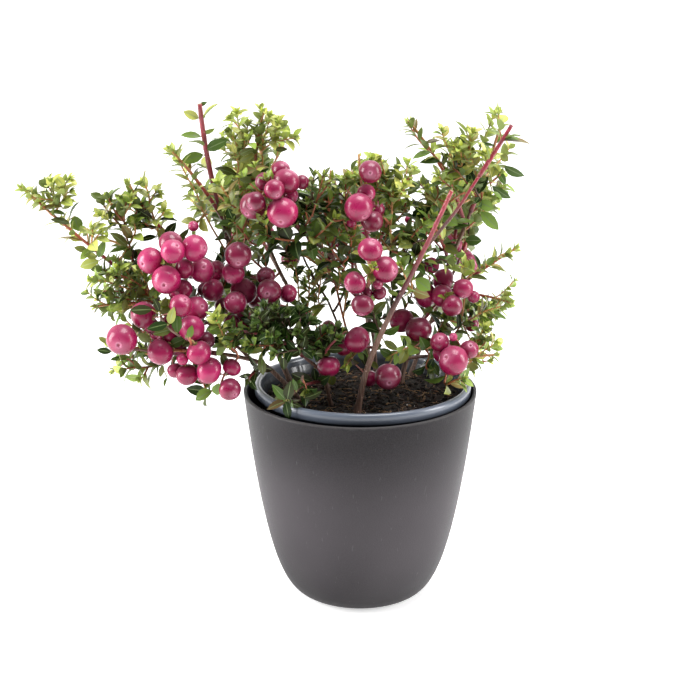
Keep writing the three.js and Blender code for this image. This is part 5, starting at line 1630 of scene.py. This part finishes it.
def add_sepals(stalks, root, axis, turn, radius):
    """Five small sepals round the end of a berry's stalk, seen from both sides."""
    for sepal in range(5):
        lobe = turn @ np.array((math.cos(sepal * SEPAL_TURN), math.sin(sepal * SEPAL_TURN), -0.25))
        base = root - axis * 0.25
        size = 0.26 * radius
        across = np.cross(lobe, axis) * 0.42 * size
        outer = base + lobe * size
        middle = base + lobe * 0.5 * size - axis * 0.12 * size
        stalks.add([base, middle + across, outer, middle - across],
                   np.array([(0, 1, 2), (0, 2, 3), (0, 2, 1), (0, 3, 2)]), 2)


def make_berries(berries, masses):
    """The berries, a little uneven and each turned its own way, on stalks that start from the shoots."""
    columns = 28
    steps = np.linalg.norm(np.diff(BERRY_OUTLINE, axis=0), axis=1)
    down = np.concatenate([[0], np.cumsum(steps)])
    pole = np.repeat(down / down[-1], columns)
    ball, faces = turned(BERRY_OUTLINE, columns)
    skin, stalks = Skin(), Skin()
    for number, berry in enumerate(berries):
        apart = Vector((number * 5.3, 0, 0))
        lumps = np.array([1 + 0.035 * noise.noise(Vector(point) * 1.3 + apart) for point in ball])
        turn = turned_to(berry["axis"])
        points = (ball * lumps[:, None] * berry["radius"]) @ turn.T + np.array(berry["centre"])
        skin.add(points, np.flip(faces, 1), ripe=berry["ripe"], pole=pole)
        root = berry["centre"] - berry["axis"] * berry["radius"] * 0.8
        bend = root - berry["axis"] * 2.5 + UP * 0.6
        line = bent_path(root, bend, berry["foot"])
        add_tube(stalks, [line.at(step / 6) for step in range(7)], np.linspace(*BERRY_STALK_RADII, 7), 6,
                 number % 2)
        add_sepals(stalks, np.array(root), np.array(berry["axis"]), turn, berry["radius"])
    fruiting = [row["name"] for row in masses if row["fruiting"]]
    piece("berries", skin, [berry_finish()], fruiting)
    finishes = [Finish("berry_stalk", (0.42, 0.30, 0.14), 0.5), Finish("pink_stalk", (0.50, 0.20, 0.16), 0.5),
                Finish("calyx", (0.24, 0.26, 0.09), 0.5)]
    piece("berry_stalks", stalks, finishes)


def make_shrub():
    """The plant: its limbs and masses, then where its berries are, then the shoots and leaves round them."""
    limbs = grown_limbs()
    masses = []
    for index, row in enumerate(MASSES):
        limb = limbs[row["on"]]
        thick = limb["radius"][1] * (1 if row["at"] is None else 0.8)
        masses.append(dict(row, seed=index + 11, path=mass_path(row, limbs), thick=thick,
                           fruiting=row["name"] in FRUITING))
    berries = placed_berries(masses)
    room = Room(limbs, masses, berries)
    shoots = []
    for index, row in enumerate(masses):
        shoots += grown_shoots(row, index, room)
    shoots += seen_shoots(limbs, masses)
    hang_berries(berries, shoots)
    single, stalks = seen_leaves(shoots)
    make_stems(limbs, shoots, masses)
    make_twigs(shoots, stalks)
    make_leaves(single + kept_leaves(shoots, masses, room), masses)
    make_berries(berries, masses)


def make_stage():
    """A white table that sweeps up into a bright backdrop."""
    front, bend, radius, top, half_width = -2600, 900, 700, 3200, 3000
    line = [(front, 0), (bend, 0)]
    for step in range(1, 13):
        angle = math.pi / 2 * step / 12
        line.append((bend + radius * math.sin(angle), radius - radius * math.cos(angle)))
    line.append((bend + radius, top))
    points = [(x / 1000, y / 1000, z / 1000) for x in (-half_width, half_width) for y, z in line]
    rows = len(line)
    faces = [(i, i + rows, i + rows + 1, i + 1) for i in range(rows - 1)]
    mesh = bpy.data.meshes.new("white_sweep")
    mesh.from_pydata(points, [], faces)
    mesh.shade_smooth()
    sweep = bpy.data.objects.new("white_sweep", mesh)
    bpy.context.scene.collection.objects.link(sweep)
    mesh.materials.append(Finish("white_sweep", (0.9, 0.9, 0.9), 0.9, Emission_Color=(1, 1, 1, 1),
                                 Emission_Strength=0.55).material)


def soft_light(name, place, aim, width, height, power):
    """A white softbox that faces its aim."""
    lamp = bpy.data.lights.new(name, "AREA")
    lamp.shape, lamp.size, lamp.size_y, lamp.energy = "RECTANGLE", width, height, power
    made = bpy.data.objects.new(name, lamp)
    made.location = place
    made.rotation_euler = (Vector(aim) - Vector(place)).to_track_quat("-Z", "Y").to_euler()
    bpy.context.scene.collection.objects.link(made)


def make_light_and_camera():
    """A white room, three softboxes and the view of the photograph."""
    world = bpy.data.worlds.new("white_room")
    world.use_nodes = True
    glow = world.node_tree.nodes["Background"].inputs
    glow["Color"].default_value, glow["Strength"].default_value = (1, 1, 1, 1), 0.22
    scene = bpy.context.scene
    scene.world = world
    scene.view_settings.view_transform = "Standard"
    soft_light("right_softbox", (0.95, -0.15, 0.45), (0, 0, 0.18), 0.35, 0.7, 9.2)
    soft_light("left_softbox", (-0.95, -0.1, 0.4), (0, 0, 0.18), 0.4, 0.7, 13.6)
    soft_light("top_softbox", (0.2, -0.05, 1.25), (0, 0, 0.1), 0.7, 0.7, 16)
    lens = bpy.data.cameras.new("photo_view")
    lens.lens, lens.sensor_width, lens.clip_end = 101.47, 36, 20
    camera = bpy.data.objects.new("photo_view", lens)
    camera.location = LENS / 1000
    camera.rotation_euler = (math.radians(90) - VIEW_TILT, 0, 0)
    scene.collection.objects.link(camera)
    scene.camera = camera


make_planter()
make_nursery_pot()
make_soil()
make_shrub()
make_stage()
make_light_and_camera()
